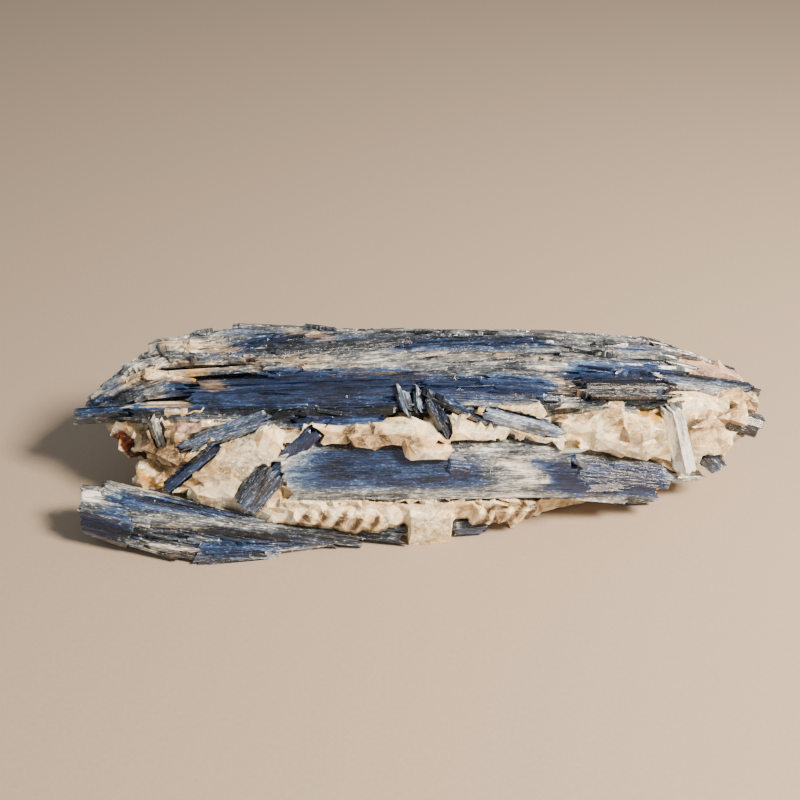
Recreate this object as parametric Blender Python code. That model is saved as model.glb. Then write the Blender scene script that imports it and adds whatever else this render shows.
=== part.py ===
"""Kyanite blade cluster in quartz, lying on its natural underside.

Lengths are written in millimetres and turned to Blender's metres by MM. X runs along the blades,
-Y is the front and Z is up; the origin is the middle of the underside. Every crystal, or bundle of
crystals grown together, is one object, and the quartz that holds them is another.
"""

import math
import random
from collections import namedtuple
from itertools import product

import bmesh
import bpy
from mathutils import Matrix, Vector

MM = 0.001
GAP = 0.3  # between a crystal and the quartz round it, and between two crystals
CROWN_RISE = 4.0  # how far the upper bundle arches above a straight line from lip to crest
CORE_INSET = 1.6  # how far a bundle's inner mass lies below the skin that its blades make
FLAT_ENOUGH = math.radians(1)  # faces that meet at less than this are one facet
LUMP_CHIPS = 4  # extra corners of a quartz block beyond the eight of its box

KYANITE_BLUE = (0.045, 0.085, 0.24, 1.0)
KYANITE_GREY = (0.13, 0.16, 0.22, 1.0)
QUARTZ_CREAM = (0.62, 0.50, 0.40, 1.0)

# A blade laid on a bundle's skin: it runs from x0 to x1, at a place across the skin that goes from
# a0 to a1. Its broad face looks out, turned by tilt degrees, and stands proud of the skin.
SkinBlade = namedtuple("SkinBlade", "x0 x1 a0 a1 wide thick tilt proud taper0 taper1",
                       defaults=(6.0, 3.5, 0.0, 0.6, 0.7, 0.6))
# A blade that grows alone, from tail to tip, its broad face looking along face.
FreeBlade = namedtuple("FreeBlade", "tail tip face wide thick taper0 taper1 cut0 cut1",
                       defaults=(1.0, 0.9, 0.2, -0.2))
Lump = namedtuple("Lump", "centre radii lean seed")

# Rails along the specimen, each a list of (x, y, z). Between its points a rail runs straight.
LIP = [(-100, 1, 23), (-82, -6, 29), (-60, -9, 31), (-32, -11, 33), (0, -11, 35), (18, -10, 37),
       (46, -10, 36.5), (66, -9, 35), (80, -4, 34), (99, 3, 28)]
CREST = [(-100, 7, 24), (-91, 10.5, 29), (-84, 14, 35), (-77, 17, 39), (-70, 19.5, 40.8), (-62, 21, 42),
         (-52, 22, 43), (-25, 22, 41.5), (0, 22, 40.5), (34, 22, 40), (66, 22, 38), (84, 19, 34),
         (96, 14, 30.5), (100, 8, 28)]
BACK = [(-100, 7, 22), (-84, 16, 22), (-60, 25, 24), (0, 27, 24), (50, 26, 24), (80, 21, 26), (100, 8, 27)]
HEEL = [(-100, 5, 22), (-84, 13, 19), (-60, 22, 10), (0, 25, 8), (50, 24, 9), (80, 17, 20), (100, 7, 27)]
BELLY = [(-100, 4, 22.5), (-82, 2, 23), (-60, 4, 22), (0, 6, 24), (50, 6, 24), (80, 5, 28), (100, 5, 27.5)]
JAW = [(-100, 2, 22.5), (-82, -4, 25), (-60, -7, 26), (0, -9, 29), (50, -8, 30), (80, -2, 31), (100, 4, 27.5)]

SHELF_FOOT = [(-94, -27, 5), (-85, -29.5, 2.2), (-74, -34, 1), (-62, -35.5, 0.8), (-50, -34.5, 0.8),
              (-30, -28.5, 0.6), (-2, -25, 1.2)]
SHELF_BROW = [(-94, -25.5, 13), (-72, -26.5, 9.5), (-50, -26.5, 5), (-34, -26.5, 3), (-2, -25, 2.2)]
SHELF_TOP = [(-94, -20.5, 15.6), (-84, -20.5, 16.4), (-70, -21, 12.4), (-54, -22, 8.6), (-40, -23.5, 6),
             (-27, -24.5, 4), (-2, -24.6, 2.6)]
SHELF_BACK = [(-94, -14, 12), (-60, -16, 9), (-40, -19, 5), (-20, -21, 4), (-2, -23, 2.6)]
SHELF_HEEL = [(-94, -15, 5), (-72, -16, 1.4), (-50, -18, 0.6), (-30, -20, 0.6), (-2, -22.5, 1.4)]

# The quartz: where its sections are taken, and its rails, from the inner top round the front
QUARTZ_X = (-90, -83, -76, -69, -61, -51, -41, -31, -20, -9, 2, 13, 24, 35, 46, 56, 65, 73, 81, 88, 94, 99)
QUARTZ_JITTER = 1.0
QUARTZ_TOP = [(-90, 2, 24), (-60, -5, 27), (0, -7, 29.6), (60, -6, 30.5), (70, -6, 35), (80, -3, 35.5),
              (92, 2, 32), (99, 5, 28)]
QUARTZ_BROW = [(-90, 0, 23), (-74, -9.5, 25), (-60, -13, 27), (-32, -15, 31), (0, -15, 32.5), (22, -14, 34),
               (60, -13.5, 33), (80, -10, 30), (94, -4, 27), (99, 4, 26)]
QUARTZ_CHEEK = [(-90, 1, 21), (-74, -10, 20), (-60, -16, 19.5), (-32, -18.5, 23), (0, -19, 24),
                (30, -18, 24), (60, -14, 24), (80, -11, 21), (94, -4, 22), (99, 3.5, 24)]
QUARTZ_CHIN = [(-90, 3, 18), (-74, -9, 13), (-60, -18, 12), (-32, -23, 11), (0, -24.5, 12), (28, -21.5, 12),
               (50, -17, 11), (72, -10.5, 10.5), (88, -6.5, 15), (99, 3, 22)]
QUARTZ_ANKLE = [(-90, 4, 16), (-74, -7, 7), (-60, -17, 5), (-32, -24.5, 5), (0, -25, 5), (30, -19.4, 5.5),
                (50, -12.4, 6), (72, -8, 6.5), (88, -2, 12), (99, 4, 21)]
QUARTZ_FOOT = [(-90, 5, 15), (-74, -4, 3), (-64, -14, -1), (-40, -22, -1), (0, -22.5, -1), (24, -17.6, -1),
               (42, -11.6, -1), (55, -6.6, -0.5), (66, -3, 3.5), (85, 2, 11), (99, 5, 21)]
QUARTZ_KEEL = [(-90, 6, 15), (-74, 5, 3), (-64, 2, -1), (0, 0, -1), (42, 2, -1), (55, 4, -0.5), (66, 5, 3),
               (85, 6, 10.5), (99, 6, 20.5)]
QUARTZ_HEEL = [(-90, 8, 15), (-74, 13, 3), (-64, 17, -1), (0, 21, -1), (42, 19, -1), (55, 15, -0.5),
               (66, 13, 4), (85, 11, 12), (99, 7, 21)]
QUARTZ_RUMP = [(-90, 9, 20), (-60, 23, 8), (0, 26, 7), (50, 24, 8), (66, 20, 14), (84, 19, 22), (99, 9, 25)]
QUARTZ_BACK = [(-90, 7, 22), (-60, 4.5, 22.5), (0, 6.5, 24.5), (60, 7, 25), (70, 15, 34), (75, 20, 37),
               (84, 18, 34), (95, 12, 30.5), (99, 7, 28)]
QUARTZ_RAILS = (QUARTZ_TOP, QUARTZ_BROW, QUARTZ_CHEEK, QUARTZ_CHIN, QUARTZ_ANKLE, QUARTZ_FOOT, QUARTZ_KEEL,
                QUARTZ_HEEL, QUARTZ_RUMP, QUARTZ_BACK)

UPPER_BLADES = (
    # left tip and the fan of edges behind it
    SkinBlade(-100, -72, 0.5, 0.09, 5.5, 4.5, 12, 0.6),
    SkinBlade(-80, -54, 0.08, 0.08, 6, 4, 5, 1.0),
    SkinBlade(-95, -83, 0.8, 0.6, 4, 3, 25, 0.8),
    SkinBlade(-84, -68, 0.3, 0.38, 5.5, 4, 20, 1.2),
    SkinBlade(-92, -64, 0.9, 0.33, 9, 4, -8, 0.2),
    SkinBlade(-92, -68, 1.0, 0.78, 6, 4, 24, 0.8),
    SkinBlade(-86, -54, 1.0, 0.8, 6, 4, 30, 1.0),
    SkinBlade(-77, -34, 1.0, 0.97, 6, 4, 34, 0.8),
    SkinBlade(-73, -62, 0.7, 0.57, 4.5, 3.5, -15, 1.8),
    # crown, from the left to the middle
    SkinBlade(-64, -48, 0.62, 0.58, 6, 3.5, -6, 1.0),
    SkinBlade(-55, -32, 0.6, 0.84, 6.5, 3.5, 8, 1.4),
    SkinBlade(-58, -35, 0.86, 0.9, 7, 3.5, 14, 0.6),
    SkinBlade(-42, -2, 0.69, 0.94, 7, 4, 22, 1.0),
    SkinBlade(-41, 5, 0.57, 0.79, 6, 4, 26, 1.2),
    SkinBlade(-34, 8, 0.47, 0.62, 7, 4, 12, 0.8),
    SkinBlade(-45, -31, 0.49, 0.46, 5, 3, 0, 1.6),
    SkinBlade(-64, 0, 0.2, 0.22, 11, 5, -6, 1.4, 0.5, 0.35),
    SkinBlade(-70, -31, 0.05, 0.04, 5, 4, -30, 1.0),
    SkinBlade(-50, -1, 0.09, 0.08, 6, 4, -26, 0.8),
    SkinBlade(-34, -9, -0.03, -0.02, 4.5, 4, -40, 0.8, 0.95, 0.6),
    SkinBlade(-42, -33, 0.0, 0.0, 5, 4.5, -20, 1.2, 0.9, 0.9),
    SkinBlade(-25, 19, 0.4, 0.42, 7, 4, 6, 0.8),
    SkinBlade(-21, 12, 0.32, 0.32, 6, 4, 2, 0.6),
    SkinBlade(-4, 34, 0.64, 0.73, 9, 4, 14, 1.2, 0.5, 0.5),
    SkinBlade(4, 44, 0.5, 0.54, 5, 3.5, -10, 0.8),
    # crown, from the middle to the right
    SkinBlade(2, 37, 0.2, 0.11, 10, 4.5, -12, 1.2, 0.5, 0.4),
    SkinBlade(8, 43, 0.37, 0.34, 7, 4, 4, 0.8),
    SkinBlade(19, 44.4, 0.22, 0.19, 10, 4, -4, 0.6, 0.6, 0.95),
    SkinBlade(45, 71, 0.19, 0.21, 11, 5, -8, 1.8, 0.97, 0.7),
    SkinBlade(39, 69, 0.48, 0.39, 5, 3.5, 16, 1.6),
    SkinBlade(22, 44, 0.96, 0.83, 6, 4, 30, 1.2),
    SkinBlade(34, 69, 0.78, 0.83, 8, 4, 10, 0.6),
    SkinBlade(38, 70, 1.0, 1.0, 5, 4, 30, 0.8),
    SkinBlade(53, 73, 0.62, 0.7, 6, 4, -14, 1.2),
    SkinBlade(67, 98, 0.3, 0.5, 6.5, 4.5, -6, 1.6, 0.8, 0.6),
    SkinBlade(66, 95, 0.98, 0.97, 4, 3, 28, 0.8),
    # back, which nobody sees from the front
    SkinBlade(-84, -38, 1.35, 1.4, 9, 4, 6, 0.8),
    SkinBlade(-70, -8, 1.75, 1.8, 11, 5, -8, 1.2),
    SkinBlade(-46, 22, 1.3, 1.25, 9, 4, 10, 1.0),
    SkinBlade(-66, -20, 2.35, 2.4, 9, 5, 4, 1.0),
    SkinBlade(-16, 40, 1.85, 1.7, 10, 4.5, 12, 1.4),
    SkinBlade(-26, 34, 2.5, 2.45, 8, 5, -6, 0.8),
    SkinBlade(16, 74, 1.35, 1.4, 9, 4, -6, 0.8),
    SkinBlade(30, 76, 2.2, 2.0, 10, 5, 8, 1.2),
)

SHELF_BLADES = (
    SkinBlade(-93.6, -77, 1.5, 1.4, 9, 7, 0, 1.2, 1.0, 0.9),
    SkinBlade(-93.4, -79, 0.55, 0.6, 9, 5, 0, 1.0, 1.0, 0.7),
    SkinBlade(-88, -43, 1.95, 1.9, 7, 4, -14, 1.0),
    SkinBlade(-82, -46, 1.55, 1.6, 6, 4, 6, 1.4),
    SkinBlade(-74, -47, 1.2, 1.3, 4.5, 3.5, -10, 1.6),
    SkinBlade(-80, -15, 1.02, 1.0, 5, 4, 12, 1.4),
    SkinBlade(-78, -27, 0.6, 0.6, 7, 4, -6, 0.8),
    SkinBlade(-62, -38, 0.25, 0.3, 6, 3.5, 10, 0.8),
)

FRONT_BLADES = (
    FreeBlade((-38, -18.5, 20.5), (45, -18.0, 21.5), (0, -0.89, 0.46), 16.5, 5, 0.96, 0.9, 0.05, 0.5),
    FreeBlade((8, -17.8, 23.4), (74, -13.2, 12), (0.05, -0.86, 0.5), 15, 5, 0.8, 0.3, 0.2, -0.4),
    FreeBlade((-14, -21.5, 13.6), (60, -17.0, 13.0), (0, -0.8, 0.6), 4, 4, 0.5, 0.5),
)

LONE_BLADES = {
    "slanting_upper_blade": FreeBlade((-40, -13, 35), (-66.5, -14, 25), (-0.1, -0.85, 0.5), 6, 4),
    "slanting_lower_blade": FreeBlade((-53, -16, 29), (-71, -16.5, 12.3), (-0.2, -0.85, 0.45), 4.6, 4.6),
    "crook_upper_blade": FreeBlade((-27, -14.5, 32.5), (-40.5, -19, 19.5), (0.1, -0.9, 0.42), 6, 4.5),
    "crook_lower_blade": FreeBlade((-39, -20, 21.5), (-48.5, -22.5, 11), (-0.1, -0.88, 0.45), 9, 4),
    "notch_blade": FreeBlade((-74, -7.5, 32), (-71.5, -10.5, 22), (-0.1, -0.85, 0.5), 4.4, 4.4, 1.0, 0.8),
    "pocket_left_blade": FreeBlade((-4.5, -6, 40), (-2.5, -11, 35), (0.1, -0.7, 0.7), 3.6, 3),
    "pocket_right_blade": FreeBlade((0.4, -6, 40), (0.8, -11.5, 34.5), (0, -0.7, 0.7), 3, 2.8),
    "wedge_blade": FreeBlade((2.5, -7.5, 39.5), (9.2, -15, 29.5), (0.2, -0.9, 0.42), 4, 4.5, 1.0, 0.3),
    "diagonal_blade": FreeBlade((5, -9, 38.6), (45, -17.6, 23), (0, -0.88, 0.46), 3.2, 5, 0.9, 0.6),
    "lavender_blade": FreeBlade((18, -12, 36.2), (39.5, -15.4, 31.6), (0, -0.85, 0.5), 4.4, 4.5, 0.8, 0.5),
    "upright_blade": FreeBlade((70.3, -8, 36), (76.3, -12, 16.6), (0.1, -0.88, 0.45), 6.6, 5),
    "end_crystal": FreeBlade((89, -1.5, 27), (98, -2.5, 24.6), (-0.1, -0.7, 0.7), 6.8, 6, 1.0, 1.0),
    "tail_crystal": FreeBlade((82.5, -6.5, 17.2), (88, -8, 12.6), (0.1, -0.8, 0.6), 5.4, 4.4),
    "tail_rod": FreeBlade((72, -8.5, 9.6), (84.5, -6.5, 8.6), (0, -0.8, 0.6), 3.2, 3.6),
    "right_heel_blade": FreeBlade((60, -8.6, 2.2), (71, -9.2, 4.2), (0, -0.8, 0.6), 5, 4),
    "left_heel_blade": FreeBlade((-17, -23.4, 3.6), (-2.5, -25, 2.6), (0, -0.6, 0.8), 6, 3.6),
    "middle_heel_blade": FreeBlade((9.5, -22.3, 2.6), (21.5, -20.8, 2.2), (0, -0.7, 0.7), 4.5, 3, 1.0, 0.3),
}

# Blocks that stand out of the quartz: lean turns a block in the front view, in degrees
LUMPS = (
    # the open face at the left, between the two bundles
    Lump((-48, -14.5, 22.5), (16, 5.5, 6.5), -38, 1),
    Lump((-56, -16, 13), (10, 6, 4.5), -24, 2),
    Lump((-70.5, -8.5, 22), (7, 5.5, 8), -40, 3),
    Lump((-62, -7, 29), (8, 5, 5), -8, 4),
    Lump((-83, -0.5, 22.5), (6, 5, 4), 24, 5),
    Lump((-74.5, -12, 13.6), (6, 5.5, 3.4), 6, 6),
    # above the front blade
    Lump((-24, -13, 29.5), (12, 5, 5.5), 8, 7),
    Lump((-7, -13.5, 30), (12, 5.5, 5.5), -10, 8),
    Lump((3, -16.5, 27.5), (9, 5.5, 4.5), 10, 9),
    Lump((14.5, -11.5, 31), (6, 4.5, 6), 40, 10),
    Lump((25, -11.5, 35.8), (12, 3.4, 3.2), -2, 11),
    Lump((48, -11, 31), (14, 5.5, 5.5), -14, 12),
    Lump((57.5, -11.5, 25.8), (12.5, 5.5, 5), 12, 13),
    Lump((82.5, -6, 20.5), (7.5, 5.5, 8), 30, 14),
    Lump((88, -3.5, 28.5), (8, 5.5, 5), -20, 15),
    Lump((93, 3.5, 27), (6.5, 5, 5.5), 10, 16),
    Lump((85, 9, 31.5), (13, 8, 4), -14, 17),
    # under the front blade
    Lump((-38, -20.5, 9), (11, 5, 5), 6, 18),
    Lump((-19, -21, 8), (13, 5.2, 5.5), 30, 19),
    Lump((4, -20.5, 5), (8, 8.2, 7.5), 2, 20),
    Lump((19, -18, 8), (6, 5.5, 8), -32, 21),
    Lump((29.5, -15.2, 7.5), (7, 6, 7), -28, 22),
    Lump((44, -11, 8.6), (9.5, 5.5, 5.4), -14, 23),
    # the hidden back and underside
    Lump((-50, 16, 6), (17, 8, 6), 8, 24),
    Lump((-14, 18, 6), (18, 8, 6.5), -10, 25),
    Lump((24, 17, 6), (18, 8, 6), 12, 26),
    Lump((56, 15, 9), (14, 7, 6), -10, 27),
)

# Quartz that lies in pockets between the blades of the upper bundle
QUARTZ_POCKETS = {
    "left_quartz_pocket": Lump((-60, 10.8, 38.2), (10.5, 3.2, 5), 0, 31),
    "edge_quartz_pocket": Lump((-71, 3.2, 35), (8.5, 2.8, 4.6), 6, 32),
    "lip_quartz_pocket": Lump((-65, -5.2, 31.2), (7.5, 3, 3.8), -4, 33),
    "crest_quartz_pocket": Lump((-31, 17, 38.4), (6.5, 4, 4.6), 4, 34),
}


def clear_scene():
    for obj in list(bpy.data.objects):
        bpy.data.objects.remove(obj)


def on_rail(rail, x):
    """The point of a rail at x, as (y, z)."""
    if x <= rail[0][0]:
        return Vector(rail[0][1:])
    for start, end in zip(rail, rail[1:]):
        if x <= end[0]:
            share = (x - start[0]) / (end[0] - start[0])
            return Vector(start[1:]).lerp(Vector(end[1:]), share)
    return Vector(rail[-1][1:])


def skin_point(rails, rise, x, across):
    """A point of a bundle's skin and its outward direction. across counts the rails: 0 is on the
    first, 1 on the second. The first strip arches by rise."""
    strip = min(max(math.floor(across), 0), len(rails) - 2)
    near, far = on_rail(rails[strip], x), on_rail(rails[strip + 1], x)
    share = across - strip
    span = far - near
    out = Vector((-span.y, span.x)).normalized()
    point = near + span * share
    if strip == 0:
        arch = rise * min(1.0, span.length / 30)
        point += out * (4 * arch * share * (1 - share))
        bent = span + out * (4 * arch * (1 - 2 * share))
        out = Vector((-bent.y, bent.x)).normalized()
    return Vector((x, *point)), Vector((0, *out))


def new_mesh_object(name, work, colour=None):
    """Turns a bmesh in millimetres into a flat-shaded object in metres."""
    bmesh.ops.scale(work, vec=(MM, MM, MM), verts=work.verts)
    bmesh.ops.recalc_face_normals(work, faces=work.faces)
    mesh = bpy.data.meshes.new(name)
    work.to_mesh(mesh)
    work.free()
    obj = bpy.data.objects.new(name, mesh)
    bpy.context.scene.collection.objects.link(obj)
    if colour:
        mesh.materials.append(mineral_material(name, colour))
    return obj


def mineral_material(name, colour):
    material = bpy.data.materials.new(name)
    material.use_nodes = True
    shader = material.node_tree.nodes["Principled BSDF"]
    shader.inputs["Base Color"].default_value = colour
    shader.inputs["Roughness"].default_value = 0.35
    shader.inputs["Metallic"].default_value = 0.0
    return material


def bridge_rings(work, rings):
    """Joins rings of vertices into a closed tube with flat ends. Its sides are triangles, so that a
    crystal and its larger socket bend along the same diagonals."""
    for near, far in zip(rings, rings[1:]):
        for i in range(len(near)):
            j = (i + 1) % len(near)
            work.faces.new((near[i], near[j], far[j]))
            work.faces.new((near[i], far[j], far[i]))
    work.faces.new(list(reversed(rings[0])))
    work.faces.new(rings[-1])


# Corners of a blade's section, as shares of its width and thickness
BLADE_SECTION = ((-0.5, -0.15), (-0.38, 0.42), (0.14, 0.5), (0.5, 0.12), (0.05, -0.5))
BLADE_WAIST = (0.0, 0.16, 0.8, 1.0)  # where along a blade its rings lie


def blade_solid(name, blade, grow=0.0):
    """A flat crystal with bevelled edges and slanting broken ends, larger by grow on every side."""
    tail, tip = Vector(blade.tail), Vector(blade.tip)
    axis = (tip - tail).normalized()
    side = axis.cross(Vector(blade.face)).normalized()
    face = side.cross(axis)
    tail, tip = tail - axis * grow, tip + axis * grow
    chance = random.Random(blade.tail[0])
    work = bmesh.new()
    rings = []
    for share in BLADE_WAIST:
        end = 1 - abs(2 * share - 1)
        narrowing = blade.taper0 if share < 0.5 else blade.taper1
        scale = narrowing + (1 - narrowing) * min(1.0, end * 1.6)
        drift = chance.uniform(-0.05, 0.05) * blade.wide
        cut = blade.cut0 if share == 0 else blade.cut1 if share == 1 else 0.0
        ring = []
        for across, up in BLADE_SECTION:
            lateral = across * (blade.wide * scale + 2 * grow)
            height = up * (blade.thick * (0.5 + 0.5 * scale) + 2 * grow)
            slide = cut * across * blade.wide
            corner = tail.lerp(tip, share) + axis * slide + side * (lateral + drift) + face * height
            ring.append(work.verts.new(corner))
        rings.append(ring)
    bridge_rings(work, rings)
    return new_mesh_object(name, work)


def skin_blade(blade, rails, rise):
    """The free blade that lies where a skin blade says."""
    tail, out0 = skin_point(rails, rise, blade.x0, blade.a0)
    tip, out1 = skin_point(rails, rise, blade.x1, blade.a1)
    out = (out0 + out1).normalized()
    axis = (tip - tail).normalized()
    turn = math.radians(blade.tilt)
    face = out * math.cos(turn) + axis.cross(out) * math.sin(turn)
    sink = blade.proud - blade.thick / 2
    return FreeBlade(tail + out0 * sink, tip + out1 * sink, face, blade.wide, blade.thick,
                     blade.taper0, blade.taper1, 0.25, -0.2)


def core_solid(name, rails, stations, inset, grow=0.0):
    """The inner mass of a bundle, that its blades grow from: rails joined at stations along X."""
    work = bmesh.new()
    rings = []
    for x in stations:
        past_end = grow if x == stations[-1] else -grow if x == stations[0] else 0.0
        section = [on_rail(rail, x) for rail in rails]
        middle = sum(section, Vector((0, 0))) / len(section)
        ring = []
        for corner in section:
            arm = corner - middle
            arm.length = max(0.25 * arm.length, arm.length - inset) + grow
            ring.append(work.verts.new((x + past_end, *(middle + arm))))
        rings.append(ring)
    bridge_rings(work, rings)
    return new_mesh_object(name, work)


def lump_solid(name, lump, grow=0.0):
    """A broken quartz block: the hull of a box with its corners knocked in and a few chips between."""
    chance = random.Random(lump.seed)
    work = bmesh.new()
    corners = [Vector(signs) * chance.uniform(0.62, 0.82) for signs in product((-1, 1), repeat=3)]
    for _ in range(LUMP_CHIPS):
        way = Vector([chance.gauss(0, 1) for _ in range(3)]).normalized()
        corners.append(way * chance.uniform(0.95, 1.15))
    lean = Matrix.Rotation(math.radians(lump.lean), 3, "Y")
    for corner in corners:
        reach = Vector([(radius + grow) * share for radius, share in zip(lump.radii, corner)])
        work.verts.new(Vector(lump.centre) + lean @ reach)
    hull = bmesh.ops.convex_hull(work, input=work.verts)
    bmesh.ops.delete(work, geom=list({*hull["geom_interior"], *hull["geom_unused"]}), context="VERTS")
    return new_mesh_object(name, work)


def quartz_body(name):
    """The quartz that everything sits in, with corners moved a little so that its faces look broken."""
    chance = random.Random(name)
    work = bmesh.new()
    rings = []
    for x in QUARTZ_X:
        ring = []
        for rail in QUARTZ_RAILS:
            corner = on_rail(rail, x)
            nudge = [chance.uniform(-QUARTZ_JITTER, QUARTZ_JITTER) for _ in range(3)]
            ring.append(work.verts.new((x + nudge[0], corner.x + nudge[1], corner.y + nudge[2])))
        rings.append(ring)
    bridge_rings(work, rings)
    return new_mesh_object(name, work)


def put_away(group, objects):
    """Moves helpers into a collection that Booleans use and no render shows."""
    for obj in objects:
        bpy.context.scene.collection.objects.unlink(obj)
        group.objects.link(obj)
        obj.hide_render = True
        obj.display_type = "WIRE"


def as_cutters(name, objects):
    group = bpy.data.collections.new(name)
    bpy.context.scene.collection.children.link(group)
    put_away(group, objects)
    return group


def apply_boolean(obj, operation, group):
    """Joins or cuts obj with all that a collection holds, and keeps the largest piece."""
    modifier = obj.modifiers.new(operation.lower(), "BOOLEAN")
    modifier.operation = operation
    modifier.operand_type = "COLLECTION"
    modifier.collection = group
    modifier.solver = "EXACT"
    modifier.use_self = True
    graph = bpy.context.evaluated_depsgraph_get()
    result = bpy.data.meshes.new_from_object(obj.evaluated_get(graph))
    obj.modifiers.clear()
    obj.data = result
    keep_largest(obj)


def keep_largest(obj):
    """Drops the chips that a Boolean leaves loose, and makes each flat facet one face again."""
    work = bmesh.new()
    work.from_mesh(obj.data)
    work.verts.ensure_lookup_table()
    unseen, islands = set(work.verts), []
    while unseen:
        todo, island = [unseen.pop()], []
        while todo:
            vert = todo.pop()
            island.append(vert)
            for edge in vert.link_edges:
                other = edge.other_vert(vert)
                if other in unseen:
                    unseen.remove(other)
                    todo.append(other)
        islands.append(island)
    islands.sort(key=len)
    for island in islands[:-1]:
        bmesh.ops.delete(work, geom=island, context="VERTS")
    bmesh.ops.dissolve_limit(work, angle_limit=FLAT_ENOUGH, verts=work.verts, edges=work.edges)
    work.to_mesh(obj.data)
    work.free()


def upper_bundle_parts(grow):
    rails = (LIP, CREST, BACK, HEEL)
    core = core_solid("upper_core", (LIP, CREST, BACK, HEEL, BELLY, JAW),
                      (-97, -84, -74, -60, -42, -20, 4, 28, 50, 64, 72, 78), CORE_INSET, grow)
    blades = [blade_solid(f"upper_{i}", skin_blade(blade, rails, CROWN_RISE), grow)
              for i, blade in enumerate(UPPER_BLADES)]
    return core, blades


def shelf_bundle_parts(grow):
    rails = (SHELF_FOOT, SHELF_BROW, SHELF_TOP)
    core = core_solid("shelf_core", (*rails, SHELF_BACK, SHELF_HEEL),
                      (-92.5, -80, -62, -44, -30, -20), CORE_INSET, grow)
    blades = [blade_solid(f"shelf_{i}", skin_blade(blade, rails, 0.0), grow)
              for i, blade in enumerate(SHELF_BLADES)]
    return core, blades


def front_blade_parts(grow):
    first, *rest = [blade_solid(f"front_{i}", blade, grow) for i, blade in enumerate(FRONT_BLADES)]
    return first, rest


def cut_flat_underneath(obj):
    """Takes off what lies below the origin, so that the specimen rests on flat broken faces."""
    work = bmesh.new()
    work.from_mesh(obj.data)
    geometry = work.verts[:] + work.edges[:] + work.faces[:]
    bmesh.ops.bisect_plane(work, geom=geometry, plane_co=(0, 0, 0), plane_no=(0, 0, 1), clear_inner=True)
    open_edges = [edge for edge in work.edges if edge.is_boundary]
    if open_edges:
        bmesh.ops.triangle_fill(work, edges=open_edges, use_beauty=True)
    work.to_mesh(obj.data)
    work.free()


def quartz_matrix(sockets):
    """The quartz: its body and lumps as one solid, cut back from every crystal in it."""
    matrix = quartz_body("quartz_body")
    apply_boolean(matrix, "UNION", as_cutters("lumps", [lump_solid(f"lump_{i.seed}", i) for i in LUMPS]))
    cut_flat_underneath(matrix)
    apply_boolean(matrix, "DIFFERENCE", sockets)
    name_node(matrix, "quartz_matrix", QUARTZ_CREAM)
    return matrix


def name_node(obj, name, colour):
    obj.name = name
    obj.data.name = name
    obj.data.materials.clear()
    obj.data.materials.append(mineral_material(name, colour))


def centre_over_origin(objects):
    """Moves everything sideways so that the middle of its bounding box is over the origin."""
    corners = [vert.co for obj in objects for vert in obj.data.vertices]
    middle = [(min(co[i] for co in corners) + max(co[i] for co in corners)) / 2 for i in (0, 1)]
    for obj in objects:
        obj.data.transform(Matrix.Translation((-middle[0], -middle[1], 0)))


def main():
    clear_scene()
    sockets = as_cutters("sockets", [])
    nodes = []

    for name, lump in QUARTZ_POCKETS.items():
        pocket = lump_solid(name, lump)
        name_node(pocket, name, QUARTZ_CREAM)
        nodes.append(pocket)
        put_away(sockets, [lump_solid(name + "_socket", lump, GAP * 1.6)])

    for name, parts, colour in (
        ("upper_blade_bundle", upper_bundle_parts, KYANITE_GREY),
        ("lower_blade_bundle", shelf_bundle_parts, KYANITE_GREY),
        ("front_blade", front_blade_parts, KYANITE_BLUE),
    ):
        core, blades = parts(0.0)
        apply_boolean(core, "UNION", as_cutters(name + "_blades", blades))
        apply_boolean(core, "DIFFERENCE", sockets)
        cut_flat_underneath(core)
        name_node(core, name, colour)
        nodes.append(core)
        core, blades = parts(GAP)
        put_away(sockets, [core, *blades])

    for name, blade in LONE_BLADES.items():
        crystal = blade_solid(name, blade)
        apply_boolean(crystal, "DIFFERENCE", sockets)
        cut_flat_underneath(crystal)
        name_node(crystal, name, KYANITE_GREY)
        nodes.append(crystal)
        put_away(sockets, [blade_solid(name + "_socket", blade, GAP)])

    nodes.append(quartz_matrix(sockets))
    centre_over_origin(nodes)


main()
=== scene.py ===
"""Looks of a kyanite blade cluster in quartz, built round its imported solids.

Places are in bench millimetres: X along the blades, -Y the open front, Z up from the surface that
the specimen rests on. BENCH_TO_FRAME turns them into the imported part's frame.
"""

import math
import random
from collections import namedtuple
from itertools import product

import bmesh
import bpy
import numpy as np
from bpy.props import FloatProperty, FloatVectorProperty, IntProperty, PointerProperty
from mathutils import Matrix, Vector, noise


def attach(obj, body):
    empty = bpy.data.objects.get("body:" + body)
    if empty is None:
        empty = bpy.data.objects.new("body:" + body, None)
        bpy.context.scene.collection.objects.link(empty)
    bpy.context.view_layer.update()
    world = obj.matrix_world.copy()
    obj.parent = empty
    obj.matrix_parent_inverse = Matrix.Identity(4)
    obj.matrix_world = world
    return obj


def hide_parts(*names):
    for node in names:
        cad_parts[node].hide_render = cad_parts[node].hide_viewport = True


bl_info = {
    "name": "Kyanite blade cluster",
    "version": (1, 0, 0),
    "blender": (4, 5, 0),
    "location": "3D View > Sidebar > Kyanite",
    "description": "Grows the blades, quartz and stains of a kyanite specimen round its solids",
    "category": "Add Mesh",
}

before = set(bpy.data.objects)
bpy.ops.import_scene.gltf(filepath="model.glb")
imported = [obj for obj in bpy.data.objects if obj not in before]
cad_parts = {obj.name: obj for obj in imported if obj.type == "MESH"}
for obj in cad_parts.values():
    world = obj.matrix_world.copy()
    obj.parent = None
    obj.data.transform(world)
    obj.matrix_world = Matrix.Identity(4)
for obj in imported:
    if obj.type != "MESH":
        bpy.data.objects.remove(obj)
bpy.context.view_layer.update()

MM = 0.001
BENCH_TO_FRAME = Vector((0.55, 3.277, 0.0))  # from bench places to the part's frame, in mm

# Rails round a bundle, each a line of places, and how far its first strip arches, in mm
Skin = namedtuple("Skin", "rails rise")
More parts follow.
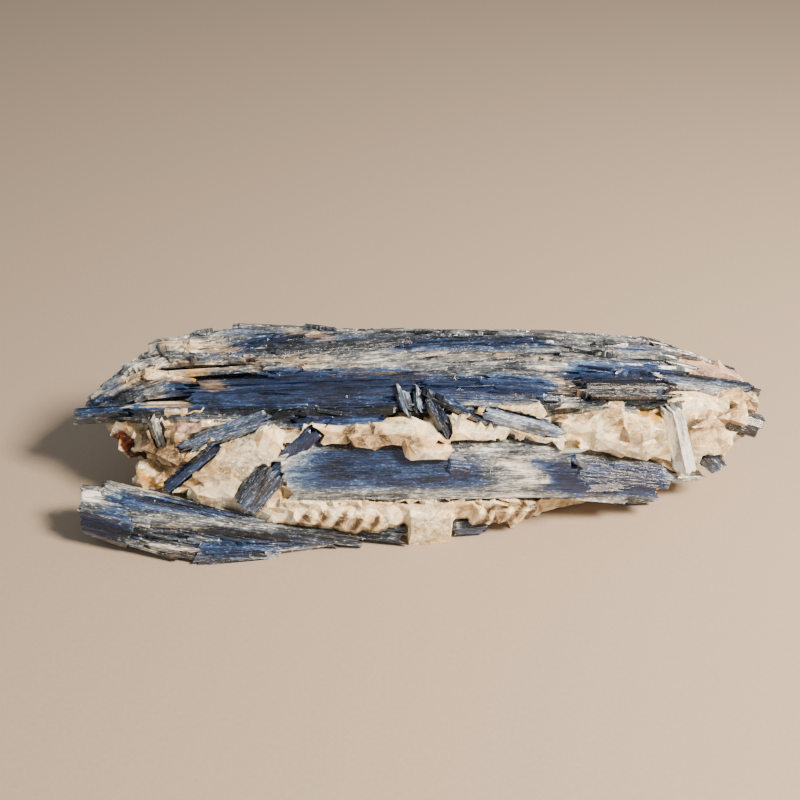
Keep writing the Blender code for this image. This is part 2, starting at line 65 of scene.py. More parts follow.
# A blade on a skin, from x0 to x1 and from a0 to a1 across it, leaning by its tilt in degrees and
# standing proud of the skin
SkinBlade = namedtuple("SkinBlade", "x0 x1 a0 a1 wide thick tilt proud taper0 taper1",
                       defaults=(0.7, 0.6))
# Small blades all over a skin: ranges of their length, place along and across, width and stand, how
# much they turn and lean, their thickness and their tapers
Growth = namedtuple("Growth", "length along across turn wide thick lean proud tapers")
# A blade from its tail to its tip: the way its face looks, how narrow its ends are, as shares of its
# width, and how slantwise they are cut
FreeBlade = namedtuple("FreeBlade", "tail tip face wide thick taper0 taper1 cut0 cut1",
                       defaults=(1.0, 0.9, 0.2, -0.2))
# A broken block, leaning in degrees
Lump = namedtuple("Lump", "centre radii lean seed")
# Small broken grains round a spot
Scatter = namedtuple("Scatter", "centre radii size count seed")
# Leaning plates that stand in a row
PlateRow = namedtuple("PlateRow", "start end lean count seed")
# A stretch of colour: along a line, out to a radius, of a kind and strength
Streak = namedtuple("Streak", "start end radius kind strength")
# The same on a skin, from x0 to x1 and from a0 to a1 across it
SkinStreak = namedtuple("SkinStreak", "x0 x1 a0 a1 radius kind strength")

KYANITE_TONES = ("blue", "dark", "pale", "cream")
QUARTZ_TONES = ("smoke", "white", "pink", "slate")
STAINS = ("ochre", "rust")


def table(kind, *rows):
    """Rows of values as records of one kind."""
    return [kind(*row) for row in rows]


# ---------------------------------------------------------------- the upper bundle

LIP = [(-100, 1, 23), (-82, -6, 29), (-60, -9, 31), (-32, -11, 33), (0, -11, 35), (18, -10, 37),
       (46, -10, 36.5), (66, -9, 35), (80, -4, 34), (99, 3, 28)]
CREST = [(-100, 7, 24), (-91, 10.5, 29), (-84, 14, 35), (-77, 17, 39), (-70, 19.5, 40.8), (-62, 21, 42),
         (-52, 22, 43), (-25, 22, 41.5), (0, 22, 40.5), (34, 22, 40), (66, 22, 38), (84, 19, 34),
         (96, 14, 30.5), (100, 8, 28)]
BACK = [(-100, 7, 22), (-84, 16, 22), (-60, 25, 24), (0, 27, 24), (50, 26, 24), (80, 21, 26), (100, 8, 27)]
HEEL = [(-100, 5, 22), (-84, 13, 19), (-60, 22, 10), (0, 25, 8), (50, 24, 9), (80, 17, 20), (100, 7, 27)]
BELLY = [(-100, 4, 22.5), (-82, 2, 23), (-60, 4, 22), (0, 6, 24), (50, 6, 24), (80, 5, 28), (100, 5, 27.5)]
JAW = [(-100, 2, 22.5), (-82, -4, 25), (-60, -7, 26), (0, -9, 29), (50, -8, 30), (80, -2, 31),
       (100, 4, 27.5)]
UPPER_SKIN = Skin((LIP, CREST, BACK, HEEL), 4.0)
# Where along X the core has rings
UPPER_STATIONS = (-97, -84, -74, -60, -42, -20, 4, 28, 50, 64, 72, 78)

UPPER_BLADES = table(
    SkinBlade,
    # left tip and the fan of edges behind it
    (-100, -72, 0.5, 0.09, 5.5, 4.5, 12, 0.6), (-80, -54, 0.08, 0.08, 6, 4, 5, 1.0),
    (-95, -83, 0.8, 0.6, 4, 3, 25, 0.8), (-84, -68, 0.3, 0.38, 5.5, 4, 20, 1.2),
    (-92, -64, 0.9, 0.33, 9, 4, -8, 0.2), (-92, -68, 1.0, 0.78, 6, 4, 24, 0.8),
    (-86, -54, 1.0, 0.8, 6, 4, 30, 1.0), (-77, -34, 1.0, 0.97, 6, 4, 34, 0.8),
    (-73, -62, 0.7, 0.57, 4.5, 3.5, -15, 1.8),
    # crown, from the left to the middle
    (-64, -48, 0.62, 0.58, 6, 3.5, -6, 1.0), (-55, -32, 0.6, 0.84, 6.5, 3.5, 8, 1.4),
    (-58, -35, 0.86, 0.9, 7, 3.5, 14, 0.6), (-42, -2, 0.69, 0.94, 7, 4, 22, 1.0),
    (-41, 5, 0.57, 0.79, 6, 4, 26, 1.2), (-34, 8, 0.47, 0.62, 7, 4, 12, 0.8),
    (-45, -31, 0.49, 0.46, 5, 3, 0, 1.6), (-64, 0, 0.2, 0.22, 11, 5, -6, 1.4, 0.5, 0.35),
    (-70, -31, 0.05, 0.04, 5, 4, -30, 1.0), (-50, -1, 0.09, 0.08, 6, 4, -26, 0.8),
    (-34, -9, -0.03, -0.02, 4.5, 4, -40, 0.8, 0.95, 0.6),
    (-42, -33, 0.0, 0.0, 5, 4.5, -20, 1.2, 0.9, 0.9), (-25, 19, 0.4, 0.42, 7, 4, 6, 0.8),
    (-21, 12, 0.32, 0.32, 6, 4, 2, 0.6), (-4, 34, 0.64, 0.73, 9, 4, 14, 1.2, 0.5, 0.5),
    (4, 44, 0.5, 0.54, 5, 3.5, -10, 0.8),
    # crown, from the middle to the right
    (2, 37, 0.2, 0.11, 10, 4.5, -12, 1.2, 0.5, 0.4), (8, 43, 0.37, 0.34, 7, 4, 4, 0.8),
    (19, 44.4, 0.22, 0.19, 10, 4, -4, 0.6, 0.6, 0.95), (45, 71, 0.19, 0.21, 11, 5, -22, 1.8, 0.97, 0.7),
    (39, 69, 0.48, 0.39, 5, 3.5, 16, 1.6), (22, 44, 0.96, 0.83, 6, 4, 30, 1.2),
    (34, 69, 0.78, 0.83, 8, 4, 10, 0.6), (38, 70, 1.0, 1.0, 5, 4, 30, 0.8),
    (53, 73, 0.62, 0.7, 6, 4, -14, 1.2), (67, 98, 0.3, 0.5, 6.5, 4.5, -6, 1.6, 0.8, 0.6),
    (66, 95, 0.98, 0.97, 4, 3, 28, 0.8),
    # back
    (-84, -38, 1.35, 1.4, 9, 4, 6, 0.8), (-70, -8, 1.75, 1.8, 11, 5, -8, 1.2),
    (-46, 22, 1.3, 1.25, 9, 4, 10, 1.0), (-66, -20, 2.35, 2.4, 9, 5, 4, 1.0),
    (-16, 40, 1.85, 1.7, 10, 4.5, 12, 1.4), (-26, 34, 2.5, 2.45, 8, 5, -6, 0.8),
    (16, 74, 1.35, 1.4, 9, 4, -6, 0.8), (30, 76, 2.2, 2.0, 10, 5, 8, 1.2),
)

UPPER_STREAKS = table(
    SkinStreak,
    # the left tip and its fan
    (-88, -62, 0.75, 0.7, 8.0, "pale", 0.6), (-72.6, -55.7, 0.89, 0.65, 2.6, "cream", 0.9),
    (-73, -63, 0.7, 0.56, 1.8, "dark", 0.6), (-84, -60, 0.3, 0.35, 5.0, "pale", 0.5),
    (-97, -86, 0.45, 0.3, 2.6, "blue", 0.85), (-90, -84, 0.75, 0.5, 2.0, "blue", 0.75),
    (-83, -75, 0.31, 0.38, 2.4, "dark", 1.2), (-88, -62, 1.0, 0.95, 2.0, "dark", 0.4),
    (-90, -78, 0.95, 0.8, 2.2, "blue", 0.45), (-82, -63, 0.56, 0.44, 3.4, "cream", 1.0),
    (-78, -66, 0.48, 0.46, 1.4, "pale", 0.7), (-75, -66, 0.15, 0.13, 2.4, "cream", 1.0),
    (-91, -78, 0.21, 0.11, 2.2, "blue", 0.8), (-66, -57, 0.5, 0.3, 3.2, "cream", 0.8),
    (-65, -60, 0.48, 0.44, 1.6, "ochre", 0.8), (-60.5, -58.8, 0.46, 0.46, 1.1, "dark", 1.6),
    # crown, from the left to the middle
    (-61, -49, 0.62, 0.59, 2.6, "blue", 0.4), (-52, -34, 0.66, 0.8, 2.6, "blue", 0.9),
    (-55, -37, 0.9, 0.86, 2.6, "blue", 0.4), (-36, -26, 0.88, 0.8, 3.0, "cream", 0.6),
    (-34, -28, 0.9, 0.84, 1.6, "ochre", 0.3), (-41, 2, 0.66, 0.86, 4.5, "dark", 0.7),
    (-30, -16, 0.55, 0.46, 2.4, "cream", 0.5), (-26, 0, 0.78, 0.82, 2.0, "blue", 0.35),
    (-48, -32, 0.52, 0.48, 2.0, "cream", 0.95), (-56, -44, 0.5, 0.46, 2.4, "cream", 0.6),
    (-60, -4, 0.27, 0.25, 4.8, "blue", 1.4), (-56, -6, 0.27, 0.25, 4.6, "dark", 0.12),
    (-42, -10, 0.34, 0.3, 2.2, "blue", 0.9), (-64, -52, 0.16, 0.2, 2.4, "pale", 0.5),
    # the dark streak from -70 to -2 along the lip is a dark broken edge and painted shade of the gap under
    # the bundle's front edge
    (-70, -2, 0.06, 0.02, 1.8, "dark", 1.3), (-60, -8, 0.13, 0.12, 2.0, "blue", 1.0),
    (-34, -12, -0.02, -0.02, 1.6, "blue", 1.0), (-41, -34, 0.03, 0.03, 2.4, "dark", 1.2),
    (-24, 18, 0.45, 0.4, 2.6, "pale", 0.2), (-20, 0, 0.36, 0.34, 1.2, "cream", 0.6),
    # crown, from the middle to the right
    (5, 33, 0.2, 0.15, 3.8, "blue", 1.4), (-2, 32, 0.68, 0.7, 3.0, "blue", 0.75),
    (0, 30, 0.76, 0.78, 1.6, "dark", 0.7), (4, 42, 0.57, 0.5, 1.6, "cream", 0.6),
    (10, 40, 0.4, 0.37, 2.4, "dark", 0.35), (26, 42, 0.95, 0.97, 1.5, "dark", 1.0),
    (36, 43, 0.35, 0.15, 3.6, "cream", 0.5), (46, 69, 0.32, 0.32, 4.2, "blue", 1.5),
    # the pale streak from 38 to 68 at about 0.4 across is a painted highlight: glare on a flat cleavage
    # face
    (46, 70, 0.13, 0.12, 4.6, "dark", 1.2), (38, 68, 0.39, 0.42, 2.0, "pale", 1.6),
    (44, 66, 0.5, 0.52, 2.0, "cream", 0.5), (59, 69, 0.68, 0.72, 2.0, "blue", 0.75),
    (70, 96, 0.34, 0.5, 2.6, "blue", 0.28), (69, 96, 0.34, 0.5, 3.2, "dark", 0.5),
    (41, 62, 0.62, 0.76, 3.2, "dark", 0.1), (67, 95, 0.96, 1.0, 1.3, "dark", 0.8),
    # back
    (-78, -44, 1.35, 1.4, 3.6, "blue", 0.7), (-62, -16, 1.75, 1.8, 4.2, "blue", 0.95),
    (-40, 14, 1.28, 1.22, 2.6, "pale", 0.5), (-12, 34, 1.85, 1.72, 3.8, "blue", 0.9),
    (-58, -24, 2.35, 2.4, 3.0, "dark", 0.6), (-20, 30, 2.5, 2.45, 3.2, "blue", 0.6),
    (20, 70, 1.38, 1.4, 2.4, "dark", 0.5), (34, 70, 2.2, 2.0, 3.6, "blue", 0.8),
    (0, 40, 2.1, 2.05, 2.0, "cream", 0.7),
)

UPPER_SMALL = Growth((7, 34), (-94, 88), (-0.02, 2.75), 0.05, (1.2, 3.6), 3.0, 14, (0.2, 1.1), (0.5, 0.4))
UPPER_NEEDLES = Growth((2.5, 13), (-95, 90), (-0.02, 2.6), 0.03, (0.4, 0.9), 2.0, 20, (0.6, 1.5),
                       (0.3, 0.3))
NEEDLE_WIDTH = 0.4  # of a needle's strands, in mm

# ---------------------------------------------------------------- the lower bundle

SHELF_FOOT = [(-94, -27, 5), (-85, -29.5, 2.2), (-74, -34, 1), (-62, -35.5, 0.8), (-50, -34.5, 0.8),
              (-30, -28.5, 0.6), (-2, -25, 1.2)]
SHELF_BROW = [(-94, -25.5, 13), (-72, -26.5, 9.5), (-50, -27.5, 4.6), (-34, -28, 2.2), (-2, -26, 1.8)]
SHELF_TOP = [(-94, -20.5, 15.6), (-84, -20.5, 16.4), (-70, -21, 12.4), (-54, -22.5, 8), (-40, -24.5, 4.6),
             (-27, -25.5, 2.8), (-2, -25.2, 2)]
SHELF_BACK = [(-94, -14, 12), (-60, -16, 9), (-40, -19, 5), (-20, -21, 4), (-2, -23, 2.6)]
SHELF_HEEL = [(-94, -15, 5), (-72, -16, 1.4), (-50, -18, 0.6), (-30, -20, 0.6), (-2, -22.5, 1.4)]
SHELF_SKIN = Skin((SHELF_FOOT, SHELF_BROW, SHELF_TOP), 0.0)
# Where along X the core has rings
SHELF_STATIONS = (-92.5, -80, -62, -44, -30, -20)

SHELF_BLADES = table(
    SkinBlade,
    (-93.6, -77, 1.5, 1.4, 9, 7, 0, 1.2, 1.0, 0.9), (-93.4, -79, 0.55, 0.6, 9, 5, 0, 1.0, 1.0, 0.7),
    (-88, -43, 1.95, 1.9, 7, 4, -14, 1.0), (-82, -46, 1.55, 1.6, 6, 4, 6, 1.4),
    (-74, -47, 1.2, 1.3, 4.5, 3.5, -10, 1.6), (-80, -15, 1.02, 1.0, 5, 4, 12, 1.4),
    (-78, -27, 0.6, 0.6, 7, 4, -6, 0.8), (-62, -38, 0.25, 0.3, 6, 3.5, 10, 0.8),
)

# Blades that fill the blunt left end of the lower bundle
SHELF_END = table(
    SkinBlade,
    (-93.6, -76, 1.1, 1.05, 5, 5, 0, 0.9, 1.0, 0.9), (-93.5, -74, 0.9, 0.85, 4.5, 5, 8, 1.1, 1.0, 0.8),
    (-93.6, -78, 1.9, 1.85, 5, 5, -8, 0.8, 1.0, 0.9), (-93.4, -80, 0.25, 0.3, 5, 5, 0, 0.7, 1.0, 0.8),
)

SHELF_STREAKS = table(
    Streak,
    # a painted highlight: glare on the top of the blunt left end
    ((-91.5, -22.5, 15.2), (-89, -22.5, 15.2), 1.7, "pale", 1.3),
    ((-92, -27, 8.5), (-83, -27.5, 9), 3.8, "blue", 1.4),
    ((-91, -27.5, 8.5), (-84, -28, 8.5), 2.4, "dark", 0.5),
    ((-84, -22, 15.5), (-70, -22, 13), 1.6, "pale", 0.2),
    ((-80, -23.5, 14), (-44, -23, 9), 2.2, "blue", 0.85),
    ((-74, -22.5, 13), (-52, -22, 10), 1.4, "dark", 0.9),
    ((-80, -26.5, 10.5), (-42, -26, 7), 1.5, "pale", 0.4),
    ((-76, -27.5, 8.5), (-55, -27.5, 6.5), 1.4, "cream", 0.4),
    ((-80, -28.5, 6.5), (-14, -26, 3), 1.9, "dark", 0.75),
    ((-66, -28.5, 5), (-30, -27.5, 3.4), 1.5, "blue", 0.5),
    ((-60, -32, 2.6), (-42, -30, 2.8), 2.6, "blue", 0.8),
    ((-76, -32, 2), (-62, -32.5, 2.4), 2.6, "cream", 0.6),
    ((-72, -34, 1), (-50, -34, 1), 2.0, "dark", 0.7),
)

SHELF_SMALL = Growth((6, 26), (-91, -22), (0.2, 1.98), 0.06, (0.8, 2.8), 2.6, 12, (0.3, 1.3), (0.5, 0.4))
BLUNT_END = -93  # blades that start left of this end cleanly, along X

# ---------------------------------------------------------------- the front blade

FRONT_BLADES = table(
    FreeBlade,
    ((-38, -18.5, 20.5), (45, -18.0, 21.5), (0, -0.89, 0.46), 16.5, 5, 0.96, 0.9, 0.05, 0.5),
    ((8, -17.8, 23.4), (74, -13.2, 12), (0.05, -0.86, 0.5), 15, 5, 0.8, 0.3, 0.2, -0.4),
    ((-14, -21.5, 13.6), (60, -17.0, 13.0), (0, -0.8, 0.6), 4, 4, 0.5, 0.5),
)

FRONT_STREAKS = table(
    Streak,
    ((-38, -20, 21), (-33, -20, 22), 5.4, "pale", 1.2),
    ((-36, -20, 22), (-31, -20, 23.5), 1.6, "pale", 1.2),
    ((-30, -20.5, 21), (10, -20.5, 21.5), 4.8, "blue", 0.85),
    ((-28, -19.5, 22.5), (14, -19.5, 23), 4.4, "dark", 0.35),
    ((-24, -18.5, 25.5), (-4, -18.5, 25.5), 2.4, "blue", 1.1),
    ((-36, -22, 15.6), (26, -22, 15.6), 1.6, "pale", 0.3),
    ((-10, -21.6, 18), (16, -21.6, 18), 1.6, "blue", 0.8),
    # a painted highlight: the glare of the key light on the broad blade
    ((27, -20, 22), (35, -21.5, 18), 2.2, "pale", 1.0),
    ((12, -18, 26), (22, -18, 26), 2.6, "pale", 0.3),
    ((20, -18.5, 25), (33, -18.5, 24), 1.4, "cream", 0.5),
    ((42, -20.5, 19.5), (66, -15.5, 14), 4.4, "blue", 1.6),
    ((42, -20.5, 19.5), (64, -16, 15), 3.6, "dark", 0.5),
    ((42, -17, 22), (58, -15, 19), 1.0, "dark", 0.9),
    ((64, -15.5, 13.6), (74, -13.5, 12), 2.0, "pale", 0.3),
    ((-18, -22.6, 13.2), (-4, -22.6, 13.2), 0.8, "dark", 1.4),
)

# ---------------------------------------------------------------- the lone blades

SET_DEPTH = 0.8  # how far the blades that the quartz holds along their sides are sunk in it, in mm

# Each lone blade's node, its tones, how ragged its ends are, from 0, cut clean, to 1, how far it is
# sunk, and its shape
LONE_BLADES = (
    ("slanting_upper_blade", {"blue": 0.4, "pale": 0.45}, 1.0, SET_DEPTH,
     (-40, -13, 35), (-66.5, -14, 25), (-0.1, -0.85, 0.5), 5.2, 4, 0.8, 0.4),
    ("slanting_lower_blade", {"blue": 0.9, "dark": 0.1}, 0.6, SET_DEPTH,
     (-54.5, -16, 28), (-71, -16.5, 12.3), (-0.2, -0.85, 0.45), 3.8, 4.6, 0.3, 0.9),
    ("crook_upper_blade", {"blue": 1.0, "pale": 0.1}, 1.0, SET_DEPTH,
     (-27, -14.5, 32.5), (-40.5, -19, 19.5), (0.1, -0.9, 0.42), 5.4, 4.5, 0.9, 0.4),
    ("crook_lower_blade", {"blue": 0.25, "dark": 0.35}, 0.5, 0,
     (-39.5, -19.8, 22), (-48.5, -22.5, 11), (-0.1, -0.88, 0.45), 8.4, 4, 0.55, 0.8),
    ("notch_blade", {"blue": 0.3, "pale": 1.2}, 1.0, SET_DEPTH,
     (-74, -7.5, 32), (-71.5, -10.5, 22), (-0.1, -0.85, 0.5), 4.4, 4.4, 1.0, 0.8),
    ("pocket_left_blade", {"blue": 0.4, "pale": 0.2}, 1.0, 0,
     (-4.5, -6, 40), (-2.5, -11, 35), (-0.3, -0.9, 0.4), 3.6, 3),
    ("pocket_right_blade", {"blue": 0.4, "pale": 0.05}, 1.0, 0,
     (0.4, -6, 40), (0.8, -11.5, 34.5), (-0.2, -0.9, 0.4), 3, 2.8),
    ("wedge_blade", {"dark": 0.5, "blue": 0.4}, 1.0, 0,
     (2.5, -7.5, 39.5), (9.2, -15, 29.5), (-0.1, -0.95, 0.3), 4, 4.5, 1.0, 0.3),
    ("diagonal_blade", {"dark": 0.6, "blue": 0.4}, 1.0, SET_DEPTH,
     (5, -9, 38.6), (45, -17.6, 23), (-0.1, -0.97, 0.2), 3.2, 5, 0.9, 0.6),
    ("lavender_blade", {"blue": 0.55, "pale": 0.7}, 0.7, SET_DEPTH,
     (18, -12, 36.2), (40.5, -15.4, 31.4), (0, -0.85, 0.5), 4.8, 4.5, 0.6, 0.2),
    ("upright_blade", {"pale": 1.5, "blue": 0.3}, 0.5, 0,
     (70.3, -9.2, 36), (76.3, -13.4, 16.6), (0.1, -0.88, 0.45), 6.6, 6.5),
    ("end_crystal", {"dark": 0.9}, 0.1, 0,
     (87.5, -2.9, 27.8), (98.2, -3.6, 24.6), (-0.1, -0.7, 0.7), 7, 6.4, 1.0, 1.0),
    ("tail_crystal", {"blue": 0.4, "dark": 0.1}, 0.4, 0,
     (82.5, -6.5, 17.2), (88, -8, 12.6), (0.1, -0.8, 0.6), 5.4, 4.4),
    ("tail_rod", {"pale": 0.45}, 1.0, 0,
     (72, -8.5, 9.6), (84.5, -6.5, 8.6), (0, -0.8, 0.6), 3.2, 3.6),
    ("right_heel_blade", {"dark": 0.4, "pale": 0.4}, 1.0, 0,
     (60, -8.6, 2.2), (71, -9.2, 4.2), (0, -0.8, 0.6), 5, 4),
    ("left_heel_blade", {"dark": 0.7}, 1.0, 0,
     (-17, -23.4, 3.6), (-2.5, -25, 2.6), (0, -0.6, 0.8), 6, 3.6),
    ("middle_heel_blade", {"dark": 0.5, "blue": 0.3}, 1.0, 0,
     (9.5, -22.3, 2.6), (21.5, -20.8, 2.2), (0, -0.7, 0.7), 4.5, 3, 1.0, 0.3),
)

# ---------------------------------------------------------------- the quartz

# Where along X the shell has rings
QUARTZ_X = (-90, -83, -76, -69, -61, -51, -41, -31, -20, -9, 2, 13, 24, 35, 46, 56, 65, 73, 81, 88, 94, 99)
QUARTZ_JITTER = 1.0  # of the shell's corners, each way, in mm
QUARTZ_RAILS = (
    # top, brow, cheek, chin and ankle, down the front
    [(-90, 2, 24), (-60, -5, 27), (0, -7, 29.6), (60, -6, 30.5), (70, -6, 35), (80, -3, 35.5),
     (92, 2, 32), (99, 5, 28)],
    [(-90, 0, 23), (-74, -9.5, 25), (-60, -13, 27), (-32, -16.2, 31), (0, -16.6, 32), (22, -15.2, 33.5),
     (60, -13.5, 33), (80, -10, 30), (94, -4, 27), (99, 4, 26)],
    [(-90, 1, 21), (-74, -10, 20), (-60, -16, 19.5), (-32, -18.5, 23), (0, -19, 24), (30, -18, 24),
     (60, -14, 24), (80, -11, 21), (94, -4, 22), (99, 3.5, 24)],
    [(-90, 3, 18), (-74, -9, 13), (-60, -18, 12), (-32, -24, 11), (0, -24.5, 12), (28, -21.5, 12),
     (50, -17, 11), (72, -10.5, 10.5), (88, -6.5, 15), (99, 3, 22)],
    [(-90, 4, 16), (-74, -7, 7), (-60, -17, 5), (-38, -26, 4.5), (-10, -26.5, 4), (0, -25, 5),
     (30, -19.4, 5.5), (50, -12.4, 6), (72, -8, 6.5), (88, -2, 12), (99, 4, 21)],
    # foot, keel and heel, under it
    [(-90, 5, 15), (-74, -4, 3), (-64, -14, -1), (-40, -22, -1), (0, -22.5, -1), (24, -17.6, -1),
     (42, -11.6, -1), (55, -6.6, -0.5), (66, -3, 3.5), (85, 2, 11), (99, 5, 21)],
    [(-90, 6, 15), (-74, 5, 3), (-64, 2, -1), (0, 0, -1), (42, 2, -1), (55, 4, -0.5), (66, 5, 3),
     (85, 6, 10.5), (99, 6, 20.5)],
    [(-90, 8, 15), (-74, 13, 3), (-64, 17, -1), (0, 21, -1), (42, 19, -1), (55, 15, -0.5), (66, 13, 4),
     (85, 11, 12), (99, 7, 21)],
    # rump and back
    [(-90, 9, 20), (-60, 23, 8), (0, 26, 7), (50, 24, 8), (66, 20, 14), (84, 19, 22), (99, 9, 25)],
    [(-90, 7, 22), (-60, 4.5, 22.5), (0, 6.5, 24.5), (60, 7, 25), (70, 15, 34), (75, 20, 37),
     (84, 18, 34), (95, 12, 30.5), (99, 7, 28)],
)
QUARTZ_HEART = Vector((4, 14))  # the middle of the shell, as (y, z)

LUMP_CHIPS = 4  # corners besides the eight of a broken block
CHIP_SUNK = 0.45  # of a chip's least radius, below the shell
CHIP_REACH = 27.4  # how far back chips reach, in mm
# No chips in front of this Y and below this Z, where the smooth face, the broad blade and the rows of
# plates are, nor left of this X, where the notch is
SMOOTH_Y, SMOOTH_Z, NOTCH_X = -13, 29, -76
PAINTED_FACET_SHADE = 0.12  # of the painted light and shade of facets, lighter or darker by the way that they face
PAINTED_SHADE_WAYS = ((17, 9, 23), (-13, 25, 7))  # how that painted shade changes with the way that they look
CELL_TABLE = 24  # cells of the table of hollows before it repeats
SMALL_HOLLOW = (0.3, 0.4)  # how wide and deep small hollows are, as shares of the large ones
POCKET_DETAIL = 0.8  # of the edge of the smallest face
POCKET_SHIFT = (0, 0.3, -0.9)  # so that a pocket's quartz lies below the blades round it, in mm

LUMPS = table(
    Lump,
    # the open face at the left, between the two bundles
    ((-48, -14.3, 22.5), (18, 6.2, 8), -38, 1), ((-56, -16, 13), (10, 6, 4.5), -24, 2),
    ((-70.5, -8.5, 22), (7, 5.5, 8), -40, 3), ((-62, -7, 29), (8, 5, 5), -8, 4),
    ((-83, -0.5, 22.5), (6, 5, 4), 24, 5), ((-74.5, -12, 13.6), (6, 5.5, 3.4), 6, 6),
    # above the front blade
    ((-24, -13, 29.5), (12, 5, 5.5), 8, 7), ((-9, -14.8, 30.2), (12, 5.8, 5.2), -6, 8),
    ((3, -16.5, 27.5), (9, 5.5, 4.5), 10, 9), ((14.5, -11.5, 31), (6, 4.5, 6), 40, 10),
    ((25, -11.5, 35.8), (12, 3.4, 3.2), -2, 11), ((48, -11, 31), (14, 5.5, 5.5), -14, 12),
    ((57.5, -11.5, 25.8), (12.5, 5.5, 5), 12, 13), ((82.5, -6, 20.5), (7.5, 5.5, 8), 30, 14),
    ((88, -3.5, 28.5), (8, 5.5, 5), -20, 15), ((93, 3.5, 27), (6.5, 5, 5.5), 10, 16),
    ((83, 10.5, 33), (13.5, 7, 3.8), 11, 17),
    # under the front blade
    ((-38, -20.6, 8.6), (12, 4.4, 4.4), 6, 18), ((-19, -21, 8), (12, 4.8, 4.6), 8, 19),
    ((4, -20.5, 5), (8, 8.2, 7.5), 2, 20), ((19, -18, 8), (6, 5.5, 8), -32, 21),
    ((29.5, -15.2, 7.5), (7, 6, 7), -28, 22), ((44, -11, 8.6), (9.5, 5.5, 5.4), -14, 23),
    # the back and the underside
    ((-50, 16, 6), (17, 8, 6), 8, 24), ((-14, 18, 6), (18, 8, 6.5), -10, 25),
    ((24, 17, 6), (18, 8, 6), 12, 26), ((56, 15, 9), (14, 7, 6), -10, 27),
)

SCATTERS = table(
    Scatter,
    # the crumbling notch between the bundles
    ((-81, -6, 20), (4, 3, 5), 1.9, 18, 51), ((-76, -14, 15), (4, 3, 2.6), 1.8, 14, 52),
    ((-82, -2, 25), (4, 3, 2), 1.5, 10, 53),
    # the crust beside the pocket of small blades
    ((6.5, -7, 39), (2.4, 1.6, 1), 0.9, 14, 54), ((-9, -6, 38.4), (2, 1.4, 0.8), 0.8, 10, 55),
)

PLATE_ROWS = table(
    PlateRow,
    ((-36, -24.8, 8), (-8, -25, 7.6), 32, 11, 61), ((15, -23.4, 8), (33, -20.2, 7.5), 30, 8, 62),
)

QUARTZ_POCKETS = {
    "left_quartz_pocket": Lump((-60, 10.8, 38.2), (10.5, 3.2, 5), 0, 31),
    "edge_quartz_pocket": Lump((-71, 3.2, 35), (8.5, 2.8, 4.6), 6, 32),
    "lip_quartz_pocket": Lump((-65, -5.2, 31.2), (7.5, 3, 3.8), -4, 33),
    "crest_quartz_pocket": Lump((-31, 17, 38.4), (6.5, 4, 4.6), 4, 34),
}

QUARTZ_STREAKS = table(
    Streak,
    # faces that broke smooth
    ((-53, -17, 25), (-41, -18, 20), 8.0, "whole", 1.0), ((3, -26, 9), (5, -27, 2), 5.0, "whole", 1.0),
    ((20, -14, 36), (34, -14, 36), 3.0, "whole", 1.0),
    # between the blades of the upper bundle
    ((-68, 10.8, 38.5), (-54, 10.8, 38.5), 6.0, "smoke", 0.3),
    ((-78, 3.2, 34), (-64, 3.2, 36), 6.0, "smoke", 0.3),
    ((-65, 1, 36), (-62, 3, 37), 2.4, "ochre", 0.9),
    ((-71, -5.2, 31), (-60, -5.2, 31), 6.0, "smoke", 0.35),
    ((-34, 17, 40), (-28, 17, 40), 4.0, "ochre", 0.5),
    # the open face at the left
    ((-73, -12, 26), (-67, -14, 19), 6.5, "smoke", 1.3),
    ((-65, -11, 31), (-62, -11, 31), 3.4, "pink", 0.8),
    ((-59, -18, 24), (-47, -19, 19), 2.2, "smoke", 0.4),
    ((-50, -17, 27), (-42, -17, 26), 5.0, "white", 0.45),
    ((-57, -20, 16), (-51, -21, 12), 3.6, "white", 0.8),
    ((-44, -18, 28), (-40, -15, 31), 4.0, "white", 0.35),
    ((-85, -4, 21), (-79, -8, 17), 3.0, "rust", 1.1),
    ((-86, -4, 25), (-78, -5, 25), 2.4, "ochre", 0.55),
    ((-79, -16, 16), (-73, -17, 14), 2.2, "ochre", 0.85),
    ((-80, -6, 27), (-76, -8, 24), 2.4, "slate", 0.7),
    # above the front blade
    ((-19, -18, 32.5), (-11, -18.5, 32), 3.2, "smoke", 1.0),
    ((-9, -19.5, 31), (0, -19.5, 31), 3.0, "smoke", 0.6),
    ((-20, -19, 28), (-13, -19.5, 28), 2.4, "white", 0.6),
    ((-3, -20, 27), (7, -21, 28), 3.4, "white", 0.6), ((-8, -6, 39), (8, -8, 39), 2.8, "slate", 0.9),
    ((5, -8, 39), (8, -8, 39), 2.0, "ochre", 1.0), ((-10, -7, 38), (-8, -7, 38), 1.8, "ochre", 0.8),
    ((15, -12, 36), (33, -13, 37), 3.0, "smoke", 0.25),
    ((37, -12, 34), (40, -12, 33), 2.4, "smoke", 0.8),
    ((53, -13, 36), (56, -13, 34), 2.6, "smoke", 0.7),
    ((64, -9.5, 32.5), (67.5, -9.5, 32), 3.2, "ochre", 1.2),
    ((44, -15, 30), (60, -15, 27), 4.6, "white", 0.45),
    ((78, -10, 31), (88, -8, 31), 3.6, "smoke", 0.9), ((92, 1, 33), (97, 3, 29), 4.2, "smoke", 0.7),
    ((80, 10, 35), (92, 8, 34), 5.0, "pink", 0.8),
    # under the front blade
    ((-33, -24.5, 9), (-8, -24.5, 8), 4.0, "white", 0.45),
    ((-36, -26, 6), (-10, -26.5, 5), 2.0, "smoke", 0.6),
    ((22, -23, 8), (34, -20, 6), 4.5, "smoke", 0.65), ((40, -17, 7), (52, -15, 7), 3.0, "smoke", 0.5),
)

# ---------------------------------------------------------------- the stage

